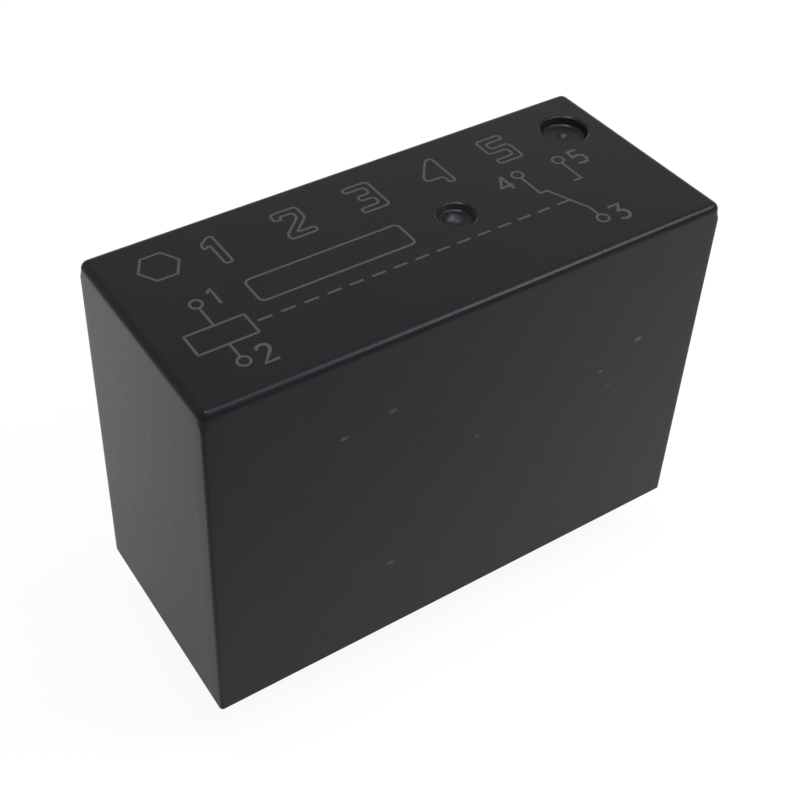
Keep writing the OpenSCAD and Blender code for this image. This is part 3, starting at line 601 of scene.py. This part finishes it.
class RELAY_OT_cover(Operator):
    """Make the moulded cover with its roof edges, rim, seat and two roof recesses"""

    bl_idname = "relay.cover"
    bl_label = "Cover"

    def execute(self, context):
        size = context.scene.relay_cover
        half_l, half_w, roof = size.length / 2, size.width / 2, size.height
        corner, top = size.corner_radius, size.top_radius
        margin = BEVEL_ROOM * size.bevel + 0.1 * MM
        reach = {"gate": size.gate_radius + margin, "vent": size.vent_radius + margin}
        border = 0.6 * MM
        edge_x, edge_y = half_l - border, half_w - border
        places = {"gate": np.array(size.gate), "vent": np.array(size.vent)}
        stops = [place + sign * reach[name] for name, place in places.items() for sign in (-1, 1)]
        stops_x = [-edge_x, *(stop[0] for stop in stops), edge_x]
        stops_y = [-edge_y, *(stop[1] for stop in stops), edge_y]
        if min(np.diff(stops_x).min(), np.diff(stops_y).min()) <= 0:
            raise RuntimeError("the roof recesses leave no room on the roof")
        x_lines = broken_lines(stops_x, [14, 22, 8, 22, 1])
        y_lines = broken_lines(stops_y, [5, 22, 1, 22, 2])
        loop = plan_loop(x_lines / edge_x, y_lines / edge_y)

        sine, cosine = quarter_round(10)
        hold = 0.03 * MM
        rim = size.rim_radius
        rim_sine, rim_cosine = quarter_round(4)
        seat_l, seat_w = size.seat_length / 2, size.seat_width / 2
        inner_l, inner_w = seat_l - size.ledge, seat_w - size.ledge
        lead, inside = 0.08 * MM, size.inner_radius
        ceiling, fillet, flat = COVER_HIGH.z - size.roof, 0.2 * MM, 0.5 * MM
        turn_in = 0.3 * fillet
        # The upright edges open towards the roof in half a wave
        opened = corner + size.corner_opening
        rows = [(edge_x, edge_y, 0, roof)]
        rows += [(half_l - top - hold, half_w - top - hold, opened - top - hold, roof)]
        out = top * (1 - sine)
        rows += list(zip(half_l - out, half_w - out, opened - out, roof - top * (1 - cosine)))
        for share in np.linspace(0, 1, 9)[1:]:
            wider = size.corner_opening * (1 + math.cos(math.pi * share)) / 2
            rows.append((half_l, half_w, corner + wider, roof - top - size.corner_reach * share))
        low_wall = np.linspace(roof - top - size.corner_reach, rim + hold, 8)
        rows += [(half_l, half_w, corner, z) for z in low_wall[1:]]
        out = rim * (1 - rim_cosine)
        rows += list(zip(half_l - out, half_w - out, corner - out, rim * (1 - rim_sine)))
        rows += [
            (seat_l + lead, seat_w + lead, inside + lead, 0),
            (seat_l, seat_w, inside, lead),
            (seat_l, seat_w, inside, size.seat_top),
            (inner_l, inner_w, inside, size.seat_top),
            (inner_l, inner_w, inside, ceiling - fillet),
            (inner_l - turn_in, inner_w - turn_in, inside - turn_in, ceiling - turn_in),
            (inner_l - fillet, inner_w - fillet, inside - fillet, ceiling),
            (inner_l - flat, inner_w - flat, 0, ceiling),
        ]
        parts = [lofted(swept_walls(loop, rows))]

        ceiling_x = x_lines / edge_x * (inner_l - flat)
        ceiling_y = y_lines / edge_y * (inner_w - flat)
        parts.append(lofted(flat_grid(ceiling_x, ceiling_y, ceiling), wrap=False))

        points, quads = lofted(flat_grid(x_lines, y_lines, roof), wrap=False)
        middle = points[quads].mean(axis=1)
        keep = np.ones(len(quads), bool)
        for name, place in places.items():
            keep &= (np.abs(middle[:, :2] - place) > reach[name]).any(axis=1)
        parts.append((points, quads[keep]))

        trim = size.wall_lean, size.bevel
        radii, levels = recess_profile(size.vent_radius, size.vent_depth, *trim, size.nib_radius)
        nib_radii, nib_levels = soft_nib(size.nib_radius, size.nib_height)
        radii = np.concatenate([radii, nib_radii])
        levels = np.concatenate([levels, nib_levels - size.vent_depth])
        near = [lines_near(lines, at, reach["vent"]) for lines, at in zip((x_lines, y_lines), size.vent)]
        rings, _ = recess_patch(size.vent, *near, roof, radii, levels)
        parts.append(lofted(rings))

        foot = 1.45 * size.sprue_radius
        radii, levels = recess_profile(size.gate_radius, size.gate_depth, *trim, foot)
        near = [lines_near(lines, at, reach["gate"]) for lines, at in zip((x_lines, y_lines), size.gate)]
        rings, angle = recess_patch(size.gate, *near, roof, radii, levels)
        sprue = torn_sprue(angle, size.sprue_radius, size.sprue_height)
        sprue += np.array([*(places["gate"] + SPRUE_OFF), roof - size.gate_depth])
        parts.append(lofted(np.concatenate([rings, sprue])))

        material = cover_finish(context.scene.relay_finish)
        cover = piece_from("moulded_cover", parts, material, "housing")
        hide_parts("cover")
        return {"FINISHED"}


# Outlines of the large numbers and strokes of the small ones, 6 units high
TALL = 6
NUMBERS = {
    1: ((1.5, 0), (2.6, 0), (2.6, 6), (1.8, 6), (0.5, 4.9), (0.5, 3.8), (1.5, 4.5)),
    2: (
        *((0, 0), (4, 0), (4, 1), (1.3, 1), (4, 3.4), (4, 6), (0, 6), (0, 4.4), (1, 4.4), (1, 5), (3, 5)),
        *((3, 3.8), (0, 1.1)),
    ),
    3: (
        *((0, 0), (4, 0), (4, 6), (0, 6), (0, 5), (3, 5), (3, 3.5), (1, 3.5), (1, 2.5), (3, 2.5), (3, 1)),
        (0, 1),
    ),
    4: ((2.6, 0), (3.6, 0), (3.6, 6), (2.6, 6), (0, 2.6), (0, 1.6), (2.6, 1.6)),
    5: (
        *((0, 0), (4, 0), (4, 3.6), (1, 3.6), (1, 5), (4, 5), (4, 6), (0, 6), (0, 2.6), (3, 2.6), (3, 1)),
        (0, 1),
    ),
}
STROKES = {
    1: [((0.9, 4.9), (2.2, 6), (2.2, 0))],
    2: [((0.3, 4.8), (0.9, 5.7), (2.0, 6), (3.2, 5.6), (3.6, 4.6), (3.1, 3.3), (0.2, 0), (3.8, 0))],
    3: [((0.3, 6), (3.6, 6), (1.7, 3.6), (3.1, 3.2), (3.7, 1.9), (3.1, 0.5), (1.7, 0), (0.2, 0.6))],
    4: [((2.9, 0), (2.9, 6)), ((2.7, 5.8), (0.1, 1.7), (3.9, 1.7))],
    5: [
        (
            *((3.5, 6), (0.7, 6), (0.4, 3.3), (2.1, 3.7), (3.5, 2.9)),
            *((3.7, 1.6), (2.9, 0.3), (1.5, 0), (0.2, 0.7)),
        )
    ],
}
# The wiring diagram in millimetres: corners of a square of half size 1, then the middles of its terminal
# rings, its plain lines, and its numbers with the lower left corner of each
SQUARE = np.array([(-1, -1), (1, -1), (1, 1), (-1, 1)], float)
RINGS = ((-11.2, 0.4), (-11.2, -4.0), (8.6, -4.0), (7.3, 1.05), (9.9, 1.05))
COIL_LEADS = (((-11.2, -1.3), (-11.2, 0.1)), ((-11.2, -2.7), (-11.2, -3.7)))
CHANGE_OVER = (
    ((8.6, -3.7), (8.6, -3.0)),
    ((8.6, -3.0), (7.7, -0.75)),
    ((7.3, 0.75), (7.3, -0.8), (7.75, -0.8)),
    ((9.9, 0.75), (9.9, -0.8), (9.45, -0.8)),
)
LABELS = ((1, -10.6, -0.1), (2, -10.5, -4.6), (3, 9.3, -4.6), (4, 5.9, 0.2), (5, 10.6, 0.2))
# The large numbers' first left edge, pitch and base
LARGE_FROM, LARGE_PITCH, LARGE_BASE = -9.2, 4.1, 2.3
# The dashed link's start, end, pitch, dash and level
LINK_FROM, LINK_TO, LINK_PITCH, LINK_DASH, LINK_LEVEL = -9.4, 7.4, 1.2, 0.75, -2.0


def softened(points, radius, steps=6):
    """A closed outline whose corners become parabolas that touch its sides at the given distance."""
    points = np.asarray(points, float)
    back = np.roll(points, 1, axis=0) - points
    ahead = np.roll(points, -1, axis=0) - points
    long_back = np.linalg.norm(back, axis=1, keepdims=True)
    long_ahead = np.linalg.norm(ahead, axis=1, keepdims=True)
    cut = np.minimum(radius, 0.45 * np.minimum(long_back, long_ahead))
    start, end = points + back / long_back * cut, points + ahead / long_ahead * cut
    t = np.linspace(0, 1, steps)[None, :, None]
    curve = (1 - t) ** 2 * start[:, None] + 2 * t * (1 - t) * points[:, None] + t**2 * end[:, None]
    return curve.reshape(-1, 2)


def ring(x, y, radius, steps=40):
    """A closed circle."""
    turn = np.linspace(0, 2 * np.pi, steps, endpoint=False)
    return np.stack([x + radius * np.cos(turn), y + radius * np.sin(turn)], axis=-1)


def ribbon(path, width, low, high, closed):
    """A flat bar carried along a level path.

    Each point of the path moves sideways by half the width, along the mean of the neighbouring
    segments' normals lengthened so that both sides stay parallel; the section is a rectangle.
    """
    path = np.asarray(path, float)
    step = np.roll(path, -1, axis=0) - path
    if not closed:
        step[-1] = step[-2]
    step /= np.linalg.norm(step, axis=1, keepdims=True)
    normal = np.stack([-step[:, 1], step[:, 0]], axis=-1)
    before = np.roll(normal, 1, axis=0)
    if not closed:
        before[0] = normal[0]
    mean = (normal + before) / 2
    side = mean / np.maximum((mean**2).sum(axis=1, keepdims=True), 0.3) * width / 2
    left, right = path + side, path - side
    level = np.ones((len(path), 1))
    section = [
        np.concatenate([left, low * level], axis=1),
        np.concatenate([right, low * level], axis=1),
        np.concatenate([right, high * level], axis=1),
        np.concatenate([left, high * level], axis=1),
    ]
    points = np.stack(section, axis=1)
    if closed:
        points = np.concatenate([points, points[:1]])
    count = len(points)
    quads = stitched(count, 4, wrap=True)
    if not closed:
        last = 4 * (count - 1)
        quads = np.concatenate([quads, [[0, 1, 2, 3], [last, last + 1, last + 2, last + 3]]])
    return points.reshape(-1, 3), quads


def number_outline(digit, left, base, height, corner):
    """Outline of a terminal number whose lower left corner and height are given."""
    shape = np.array(NUMBERS[digit]) * height / TALL
    return softened(shape + np.array([left, base]), corner * height)


class RELAY_OT_marking(Operator):
    """Draw the laser lines on the roof: terminal numbers and a plain wiring diagram"""

    bl_idname = "relay.marking"
    bl_label = "Laser marking"

    def execute(self, context):
        size = context.scene.relay_marking
        roof = context.scene.relay_cover.height
        low, high = roof - 2 * size.line_height, roof + size.line_height
        shut = []
        for place, digit in enumerate(NUMBERS):
            left = (LARGE_FROM + LARGE_PITCH * place) * MM
            shut.append(number_outline(digit, left, LARGE_BASE * MM, size.large_number, size.corner))
        # A hexagon, and a blank field for a batch stamp
        shut.append(ring(-11.4 * MM, 3.7 * MM, 1.05 * MM, 6))
        field = SQUARE * np.array([4.2, 0.85]) + np.array([-4.4, -0.1])
        shut.append(softened(field * MM, 0.35 * MM))
        # Coil: a box with two leads that end in terminal rings
        coil = SQUARE * np.array([1.5, 0.7]) + np.array([-11.2, -2.0])
        shut.append(softened(coil * MM, 0.05 * MM))
        shut += [ring(x * MM, y * MM, 0.3 * MM) for x, y in RINGS]
        # Dashed link from the coil to the change-over contact, which is one arm between two fixed contacts
        dashes = np.arange(LINK_FROM, LINK_TO, LINK_PITCH)
        link = [((start, LINK_LEVEL), (start + LINK_DASH, LINK_LEVEL)) for start in dashes]
        lines = [*COIL_LEADS, *link, *CHANGE_OVER]
        drawn = [(path, size.line_width, True) for path in shut]
        for digit, left, base in LABELS:
            for path in STROKES[digit]:
                stroke = np.array(path) * size.small_number / TALL + np.array([left, base]) * MM
                drawn.append((stroke, 1.3 * size.line_width, False))
        drawn += [(np.array(path) * MM, size.line_width, False) for path in lines]
        # Lines that cross lie at slightly different levels
        parts = []
        for place, (path, width, closed) in enumerate(drawn):
            step = 0.1 * size.line_height * (place % 7)
            parts.append(ribbon(path, width, low + step, high - step, closed))
        material = marking_finish(context.scene.relay_finish)
        piece_from("laser_marking", parts, material, "housing")
        return {"FINISHED"}


# Middle and half sizes of each pin at the resin's face, in millimetres
PINS = (
    (-9.3, 3.75, 0.3, 0.3),
    (-9.3, -3.75, 0.3, 0.3),
    (5.7, 2.5, 0.5, 0.25),
    (8.2, -2.5, 0.5, 0.25),
    (10.7, 2.5, 0.5, 0.25),
)


class RELAY_OT_resin(Operator):
    """Pour the resin that closes the underside, climbing at the walls and the pins"""

    bl_idname = "relay.resin"
    bl_label = "Sealing resin"

    def execute(self, context):
        size = context.scene.relay_inside
        hair = 1e-6
        half_l, half_w = RESIN_HIGH.x - 2 * hair, RESIN_HIGH.y - 2 * hair
        corner = context.scene.relay_cover.inner_radius
        margin = 0.9 * MM
        x = np.linspace(-1, 1, 171)
        y = np.linspace(-1, 1, 61)
        loop = plan_loop(x, y, 6)
        inset = np.array([0, 0.04, 0.1, 0.18, 0.28, 0.42, 0.6]) * MM
        rows = [(half_l - d, half_w - d, max(corner - d, 0.01 * MM), 0) for d in inset]
        rows.append((half_l - margin, half_w - margin, 0, 0))
        walls = swept_walls(loop, rows)
        grid = flat_grid(x * (half_l - margin), y * (half_w - margin), 0)

        def poured(points):
            """Poured face: it climbs in an exponential towards the walls and the pins, over slow waves."""
            px, py = points[..., 0], points[..., 1]
            wall = np.minimum(half_l - np.abs(px), half_w - np.abs(py))
            climb = size.resin_rise * np.exp(-wall / size.resin_reach)
            for cx, cy, a, b in np.array(PINS) * MM:
                gap = np.hypot(np.maximum(np.abs(px - cx) - a, 0), np.maximum(np.abs(py - cy) - b, 0))
                climb = climb + 0.75 * size.resin_rise * np.exp(-gap / (0.8 * size.resin_reach))
            wave = 0.012 * MM * np.sin(700 * px + 1) * np.cos(900 * py + 0.3)
            level = RESIN_LOW.z - np.minimum(climb, 1.2 * size.resin_rise) + wave
            made = points.copy()
            made[..., 2] = np.maximum(level, 0.01 * MM)
            return made

        def level(points, z):
            """The same points at one level."""
            made = points.copy()
            made[..., 2] = z
            return made

        top = RESIN_HIGH.z - hair
        rim = np.stack([level(walls[:1], top)[0], poured(walls[:1])[0]])
        parts = [
            lofted(poured(walls)),
            lofted(poured(grid), wrap=False),
            lofted(level(walls, top)),
            lofted(level(grid, top), wrap=False),
            lofted(rim),
        ]
        material = resin_finish(context.scene.relay_finish)
        resin = piece_from("poured_resin", parts, material, "housing")
        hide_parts("sealing_resin")
        return {"FINISHED"}


class RELAY_OT_winding(Operator):
    """Wind the coil: one layer of wire shows as a helix of round turns"""

    bl_idname = "relay.winding"
    bl_label = "Coil winding"

    def execute(self, context):
        size = context.scene.relay_inside
        start, length = COIL_LOW.x, COIL_HIGH.x - COIL_LOW.x
        radius = (COIL_HIGH.z - COIL_LOW.z) / 2
        level = (COIL_HIGH.z + COIL_LOW.z) / 2
        turns = round(length / size.wire)
        along = np.linspace(0, 1, 6 * turns + 1)[:, None]
        round_steps = 72
        turn = np.linspace(0, 2 * np.pi, round_steps, endpoint=False)[None, :]
        # Radius of a turn: the crown of the wire, less a half circle of its thickness between two crowns
        phase = along * turns - turn / (2 * np.pi)
        reach = radius - size.wire / 2 * (1 - np.abs(np.cos(np.pi * phase)) ** 0.7)
        bore = np.full((1, round_steps), size.winding_bore)
        reach = np.concatenate([bore, reach, bore])
        x = np.concatenate([[[0.0]], along, [[1.0]]]) * length + start
        x = np.broadcast_to(x, reach.shape)
        points = np.stack([x, reach * np.cos(turn), level + reach * np.sin(turn)], axis=-1)
        points = np.concatenate([points, points[:1]])
        material = wire_finish(context.scene.relay_finish)
        coil = piece_from("wound_coil", [lofted(points)], material, "housing", 75.0)
        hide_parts("coil_winding")
        return {"FINISHED"}


def strip_section(width, thickness, edge):
    """Section of a rolled strip: a rectangle across (y) and through (n) with four rounded corners."""
    return softened(SQUARE * np.array([width / 2, thickness / 2]), edge, 4)


class RELAY_OT_springs(Operator):
    """Bend the hinge leaf and stamp the contact spring"""

    bl_idname = "relay.springs"
    bl_label = "Leaf springs"

    def execute(self, context):
        self.hinge_leaf(context)
        self.contact_spring(context)
        return {"FINISHED"}

    def hinge_leaf(self, context):
        """A rounded strip section carried along a foot, a bend about the hinge line and a tilted arm."""
        size = context.scene.relay_inside
        hinge_x, hinge_z, bend = HINGE_AXIS[0], HINGE_AXIS[2], size.leaf_bend
        tilt = size.open_angle
        foot = np.linspace(LEAF_HIGH.x, hinge_x, 24, endpoint=False)
        turn = np.linspace(1.5 * np.pi, np.pi - tilt, 22)
        arm = np.linspace(0, size.leaf_arm, 18)[1:]
        end_x, end_z = hinge_x + bend * np.cos(turn[-1]), hinge_z + bend * np.sin(turn[-1])
        path_x = np.concatenate([foot, hinge_x + bend * np.cos(turn), end_x - arm * np.sin(tilt)])
        foot_z = np.full(foot.shape, hinge_z - bend)
        path_z = np.concatenate([foot_z, hinge_z + bend * np.sin(turn), end_z + arm * np.cos(tilt)])
        step_x, step_z = np.gradient(path_x), np.gradient(path_z)
        long = np.hypot(step_x, step_z)
        normal_x, normal_z = -step_z / long, step_x / long
        section = strip_section(LEAF_HIGH.y - LEAF_LOW.y, size.leaf, 0.05 * MM)
        across, through = section[None, :, 0], section[None, :, 1]
        x = path_x[:, None] + normal_x[:, None] * through
        z = path_z[:, None] + normal_z[:, None] * through
        points = np.stack([x, np.broadcast_to(across, x.shape), z], axis=-1)
        ends = points[[0, -1]].mean(axis=1, keepdims=True).repeat(points.shape[1], axis=1)
        points = np.concatenate([ends[:1], points, ends[1:]])
        material = FINISH["spring_bronze"]
        leaf = piece_from("bent_hinge_leaf", [lofted(points)], material, None)
        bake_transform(leaf)
        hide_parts("hinge_spring")

    def contact_spring(self, context):
        """A flat blade made of two halves: each row runs from the edge of the slot to the outer edge.

        The outer edge tapers from the foot's width to the top's and is rounded at both ends. The slot's
        edge is a half circle at either end and straight between, and nothing elsewhere.
        """
        size = context.scene.relay_inside
        foot, top, pivot = SPRING_LOW.z, SPRING_HIGH.z, FLEX_AXIS[2]
        wide, soft = SPRING_HIGH.y, 0.4 * MM
        slot_low, slot_high = pivot + soft, size.contact_level - 1.5 * MM - soft
        slot = size.spring_slot / 2
        ease = (1 - np.cos(np.linspace(0, np.pi, 13))) / 2
        levels = [
            foot + soft * ease,
            np.linspace(foot + soft, slot_low, 8),
            slot_low + slot * ease**1.5,
            np.linspace(slot_low + slot, slot_high - slot, 24),
            slot_high - slot * ease**1.5,
            np.linspace(slot_high, top - soft, 26),
            top - soft * ease,
        ]
        z = np.unique(np.concatenate(levels).round(9))
        narrow = size.spring_top / 2
        outer = np.interp(z, [foot, pivot, size.contact_level, top], [wide, wide, narrow, narrow])
        for end, sign in ((foot, 1), (top, -1)):
            depth = np.clip(1 - sign * (z - end) / soft, 0, 1)
            outer = outer - soft * (1 - np.sqrt(1 - depth**2))
        depth = np.clip(1 - np.minimum(z - slot_low, slot_high - z) / slot, 0, 1)
        inside = (z > slot_low) & (z < slot_high)
        inner = np.where(inside, slot * np.sqrt(1 - depth**2), 0.0)
        share = np.linspace(0, 1, 7)
        y = inner[:, None] + (outer - inner)[:, None] * share
        level = np.broadcast_to(z[:, None], y.shape)
        parts = []
        for hand in (1, -1):
            sides = [np.full(y.shape, x) for x in (SPRING_LOW.x, SPRING_HIGH.x)]
            faces = [np.stack([x, hand * y, level], axis=-1) for x in sides]
            parts += [lofted(face, wrap=False) for face in faces]
            for column in (0, -1):
                edge = np.stack([face[:, column] for face in faces], axis=1)
                points, quads = lofted(edge, wrap=False)
                if column == 0:
                    quads = quads[(inner[:-1] > 0) | (inner[1:] > 0)]
                parts.append((points, quads))
            for row in (0, -1):
                parts.append(lofted(np.stack([face[row] for face in faces], axis=1), wrap=False))
        material = FINISH["spring_bronze"]
        spring = piece_from("slotted_contact_spring", parts, material, None)
        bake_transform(spring)
        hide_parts("moving_spring")


# Finish of each material slot, filled by the first operator
FINISH = {}


class RELAY_OT_finishes(Operator):
    """Give every carried-over part the finish of its material slot"""

    bl_idname = "relay.finishes"
    bl_label = "Part finishes"

    def execute(self, context):
        look = context.scene.relay_finish
        FINISH.update(
            {
                "cover_plastic": plastic_finish("cover_moulding_finish", look.cover, 0.45),
                "base_plastic": plastic_finish("base_moulding_finish", look.base, 0.5),
                "resin": plastic_finish("resin_solid_finish", look.resin, 0.3),
                "bobbin_plastic": plastic_finish("bobbin_moulding_finish", look.bobbin, 0.45),
                "card_plastic": plastic_finish("card_moulding_finish", look.card, 0.42),
                "copper_wire": wire_finish(look),
                "core_steel": metal_finish("core_steel_finish", look.core, 0.34, (0.1, 1, 1)),
                "plated_steel": metal_finish("plated_steel_finish", look.steel, 0.38, (1, 1, 0.08)),
                "spring_bronze": metal_finish("spring_bronze_finish", look.bronze, 0.3, (1, 1, 0.05)),
                "tinned_wire": metal_finish("tinned_wire_finish", look.tin, 0.3, (1, 1, 0.2)),
                "blade_brass": metal_finish("blade_brass_finish", look.brass, 0.32, (1, 1, 0.06)),
                "contact_silver": metal_finish("contact_silver_finish", look.silver, 0.28, (1, 1, 1)),
                "rivet_brass": metal_finish("rivet_brass_finish", look.rivet, 0.34, (1, 1, 1)),
            }
        )
        for part in frame["nodes"].values():
            for place in part.material_slots:
                name = place.material.name.split(".")[0]
                if name not in FINISH:
                    raise RuntimeError(f"{part.name} has no finish for {name}")
                place.material = FINISH[name]
        return {"FINISHED"}


def seen_share(tree, look):
    """Share of plain white on the stage: one share for the camera's rays, a smaller one for reflections."""
    path = node(tree, "ShaderNodeLightPath").outputs
    mirrored = combined(tree, "MAXIMUM", path["Is Glossy Ray"], path["Is Transmission Ray"])
    mirrored = combined(tree, "MULTIPLY", mirrored, look.mirror_glow)
    seen = combined(tree, "MULTIPLY", path["Is Camera Ray"], look.floor_glow)
    return combined(tree, "MAXIMUM", seen, mirrored)


def white_floor(look):
    """A white floor that the camera and reflections see as mostly plain white, less the shadow."""
    material = bpy.data.materials.new("white_floor_finish")
    material.use_nodes = True
    tree = material.node_tree
    tree.nodes.clear()
    share = seen_share(tree, look)
    plain = node(tree, "ShaderNodeBsdfDiffuse", {"Color": (*look.floor, 1)})
    glow = node(tree, "ShaderNodeEmission", {"Color": (1, 1, 1, 1), "Strength": 1.0})
    face = node(tree, "ShaderNodeMixShader", {0: share, 1: plain.outputs[0], 2: glow.outputs[0]})
    clear = node(tree, "ShaderNodeBsdfTransparent")
    back = node(tree, "ShaderNodeNewGeometry").outputs["Backfacing"]
    sided = node(tree, "ShaderNodeMixShader", {0: back, 1: face.outputs[0], 2: clear.outputs[0]})
    node(tree, "ShaderNodeOutputMaterial", {"Surface": sided.outputs[0]})
    return material


def room(look):
    """A world with a bright backdrop behind the part, a dim room in front of it and overhead."""
    world = bpy.data.worlds.new("studio_room")
    world.use_nodes = True
    tree = world.node_tree
    tree.nodes.clear()
    place = node(tree, "ShaderNodeTexCoord").outputs["Generated"]
    way = node(tree, "ShaderNodeSeparateXYZ", {0: place}).outputs
    horizon = ranged(tree, way["Y"], -0.3, 0.7, look.front, look.backdrop)
    natural = mixed(tree, way["Z"], horizon, look.overhead, "FLOAT")
    strength = mixed(tree, seen_share(tree, look), natural, 1.0, "FLOAT")
    background = node(tree, "ShaderNodeBackground", {"Color": (1, 1, 1, 1), "Strength": strength})
    node(tree, "ShaderNodeOutputWorld", {"Surface": background.outputs[0]})
    return world


def softbox(name, place, aim, size, power, colour=(1, 1, 1)):
    """An area lamp at a place, turned to an aim."""
    lamp = bpy.data.lights.new(name, "AREA")
    lamp.shape = "RECTANGLE"
    lamp.size, lamp.size_y = size
    lamp.energy = power
    lamp.color = colour
    made = bpy.data.objects.new(name, lamp)
    made.location = place
    made.rotation_mode = "QUATERNION"
    made.rotation_quaternion = (Vector(aim) - Vector(place)).to_track_quat("-Z", "Y")
    made.visible_camera = False
    bpy.context.scene.collection.objects.link(made)
    return made


# Lamps, in metres: how far the softbox and the window stand off, and the side lamp's place, aim and size
KEY_AWAY, WINDOW_AWAY = 0.4, 0.36
WINDOW_COLOUR = (0.5, 0.7, 1.0)
SIDE_PLACE, SIDE_AIM, SIDE_SIZE = (0.075, -0.065, 0.11), (0.01, -0.01, 0), (0.04, 0.04)
# Floor: radii of its first and last ring, rings, steps round and gap below the pins
FLOOR_RINGS, FLOOR_STEPS, FLOOR_GAP = (0.02, 3.0, 24), 64, 2e-6


class RELAY_OT_stage(Operator):
    """Set the floor, the lamps and the camera"""

    bl_idname = "relay.stage"
    bl_label = "Stage"

    def execute(self, context):
        look = context.scene.relay_stage
        radius = np.concatenate([[0.0], np.geomspace(*FLOOR_RINGS)])[:, None]
        turn = np.linspace(0, 2 * np.pi, FLOOR_STEPS, endpoint=False)[None, :]
        level = np.full((len(radius), FLOOR_STEPS), CAD_LOW.z - FLOOR_GAP)
        points = np.stack([radius * np.cos(turn), radius * np.sin(turn), level], axis=-1)
        floor = piece_from("white_floor", [lofted(points)], white_floor(look))
        if floor.data.polygons[0].normal.z < 0:
            floor.data.flip_normals()

        context.scene.world = room(look)
        middle = Vector((0, 0, COVER_HIGH.z / 2))
        overhead = Vector(look.key_from).normalized()
        key_size = (look.key_size, look.key_size)
        softbox("key_softbox", middle + KEY_AWAY * overhead, middle, key_size, look.key_power)
        window = Vector(look.window_from).normalized()
        place, pane = middle + WINDOW_AWAY * window, tuple(look.window_size)
        softbox("cool_window", place, middle, pane, look.window_power, WINDOW_COLOUR)
        softbox("side_lamp", SIDE_PLACE, SIDE_AIM, SIDE_SIZE, look.side_power)

        camera = bpy.data.cameras.new("photo_camera")
        camera.lens = look.focal
        camera.sensor_width = 36
        camera.shift_x, camera.shift_y = look.shift
        camera.clip_start, camera.clip_end = 0.001, 20
        holder = bpy.data.objects.new("photo_camera", camera)
        a, e = look.azimuth, look.elevation
        back = Vector((math.sin(a) * math.cos(e), -math.cos(a) * math.cos(e), math.sin(e)))
        holder.rotation_mode = "QUATERNION"
        holder.rotation_quaternion = (-back).to_track_quat("-Z", "Y") @ Quaternion((0, 0, 1), look.roll)
        holder.location = look.camera
        context.scene.collection.objects.link(holder)
        context.scene.camera = holder
        context.scene.view_settings.view_transform = "Standard"
        return {"FINISHED"}


class RELAY_PT_parts(Panel):
    """Lists the steps that dress the relay"""

    bl_idname = "RELAY_PT_parts"
    bl_label = "PCB power relay"
    bl_space_type = "VIEW_3D"
    bl_region_type = "UI"
    bl_category = "Relay"

    def draw(self, context):
        for step in (*STEPS, RELAY_OT_stage):
            self.layout.operator(step.bl_idname)


GROUPS = {
    "relay_cover": RelayCover,
    "relay_marking": RelayMarking,
    "relay_inside": RelayInside,
    "relay_finish": RelayFinish,
    "relay_stage": RelayStage,
}
STEPS = (
    RELAY_OT_finishes,
    RELAY_OT_cover,
    RELAY_OT_marking,
    RELAY_OT_resin,
    RELAY_OT_winding,
    RELAY_OT_springs,
)


def register():
    """Register the settings, the operators and the panel."""
    for name, group in GROUPS.items():
        bpy.utils.register_class(group)
        setattr(bpy.types.Scene, name, PointerProperty(type=group))
    for made in (*STEPS, RELAY_OT_stage, RELAY_PT_parts):
        bpy.utils.register_class(made)


def unregister():
    """Remove what register added."""
    for made in (RELAY_PT_parts, RELAY_OT_stage, *reversed(STEPS)):
        bpy.utils.unregister_class(made)
    for name, group in reversed(GROUPS.items()):
        delattr(bpy.types.Scene, name)
        bpy.utils.unregister_class(group)


def main():
    """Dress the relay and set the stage."""
    register()
    bpy.ops.relay.finishes()
    bpy.ops.relay.cover()
    bpy.ops.relay.marking()
    bpy.ops.relay.resin()
    bpy.ops.relay.winding()
    bpy.ops.relay.springs()
    bpy.ops.relay.stage()


if __name__ == "__main__":
    main()
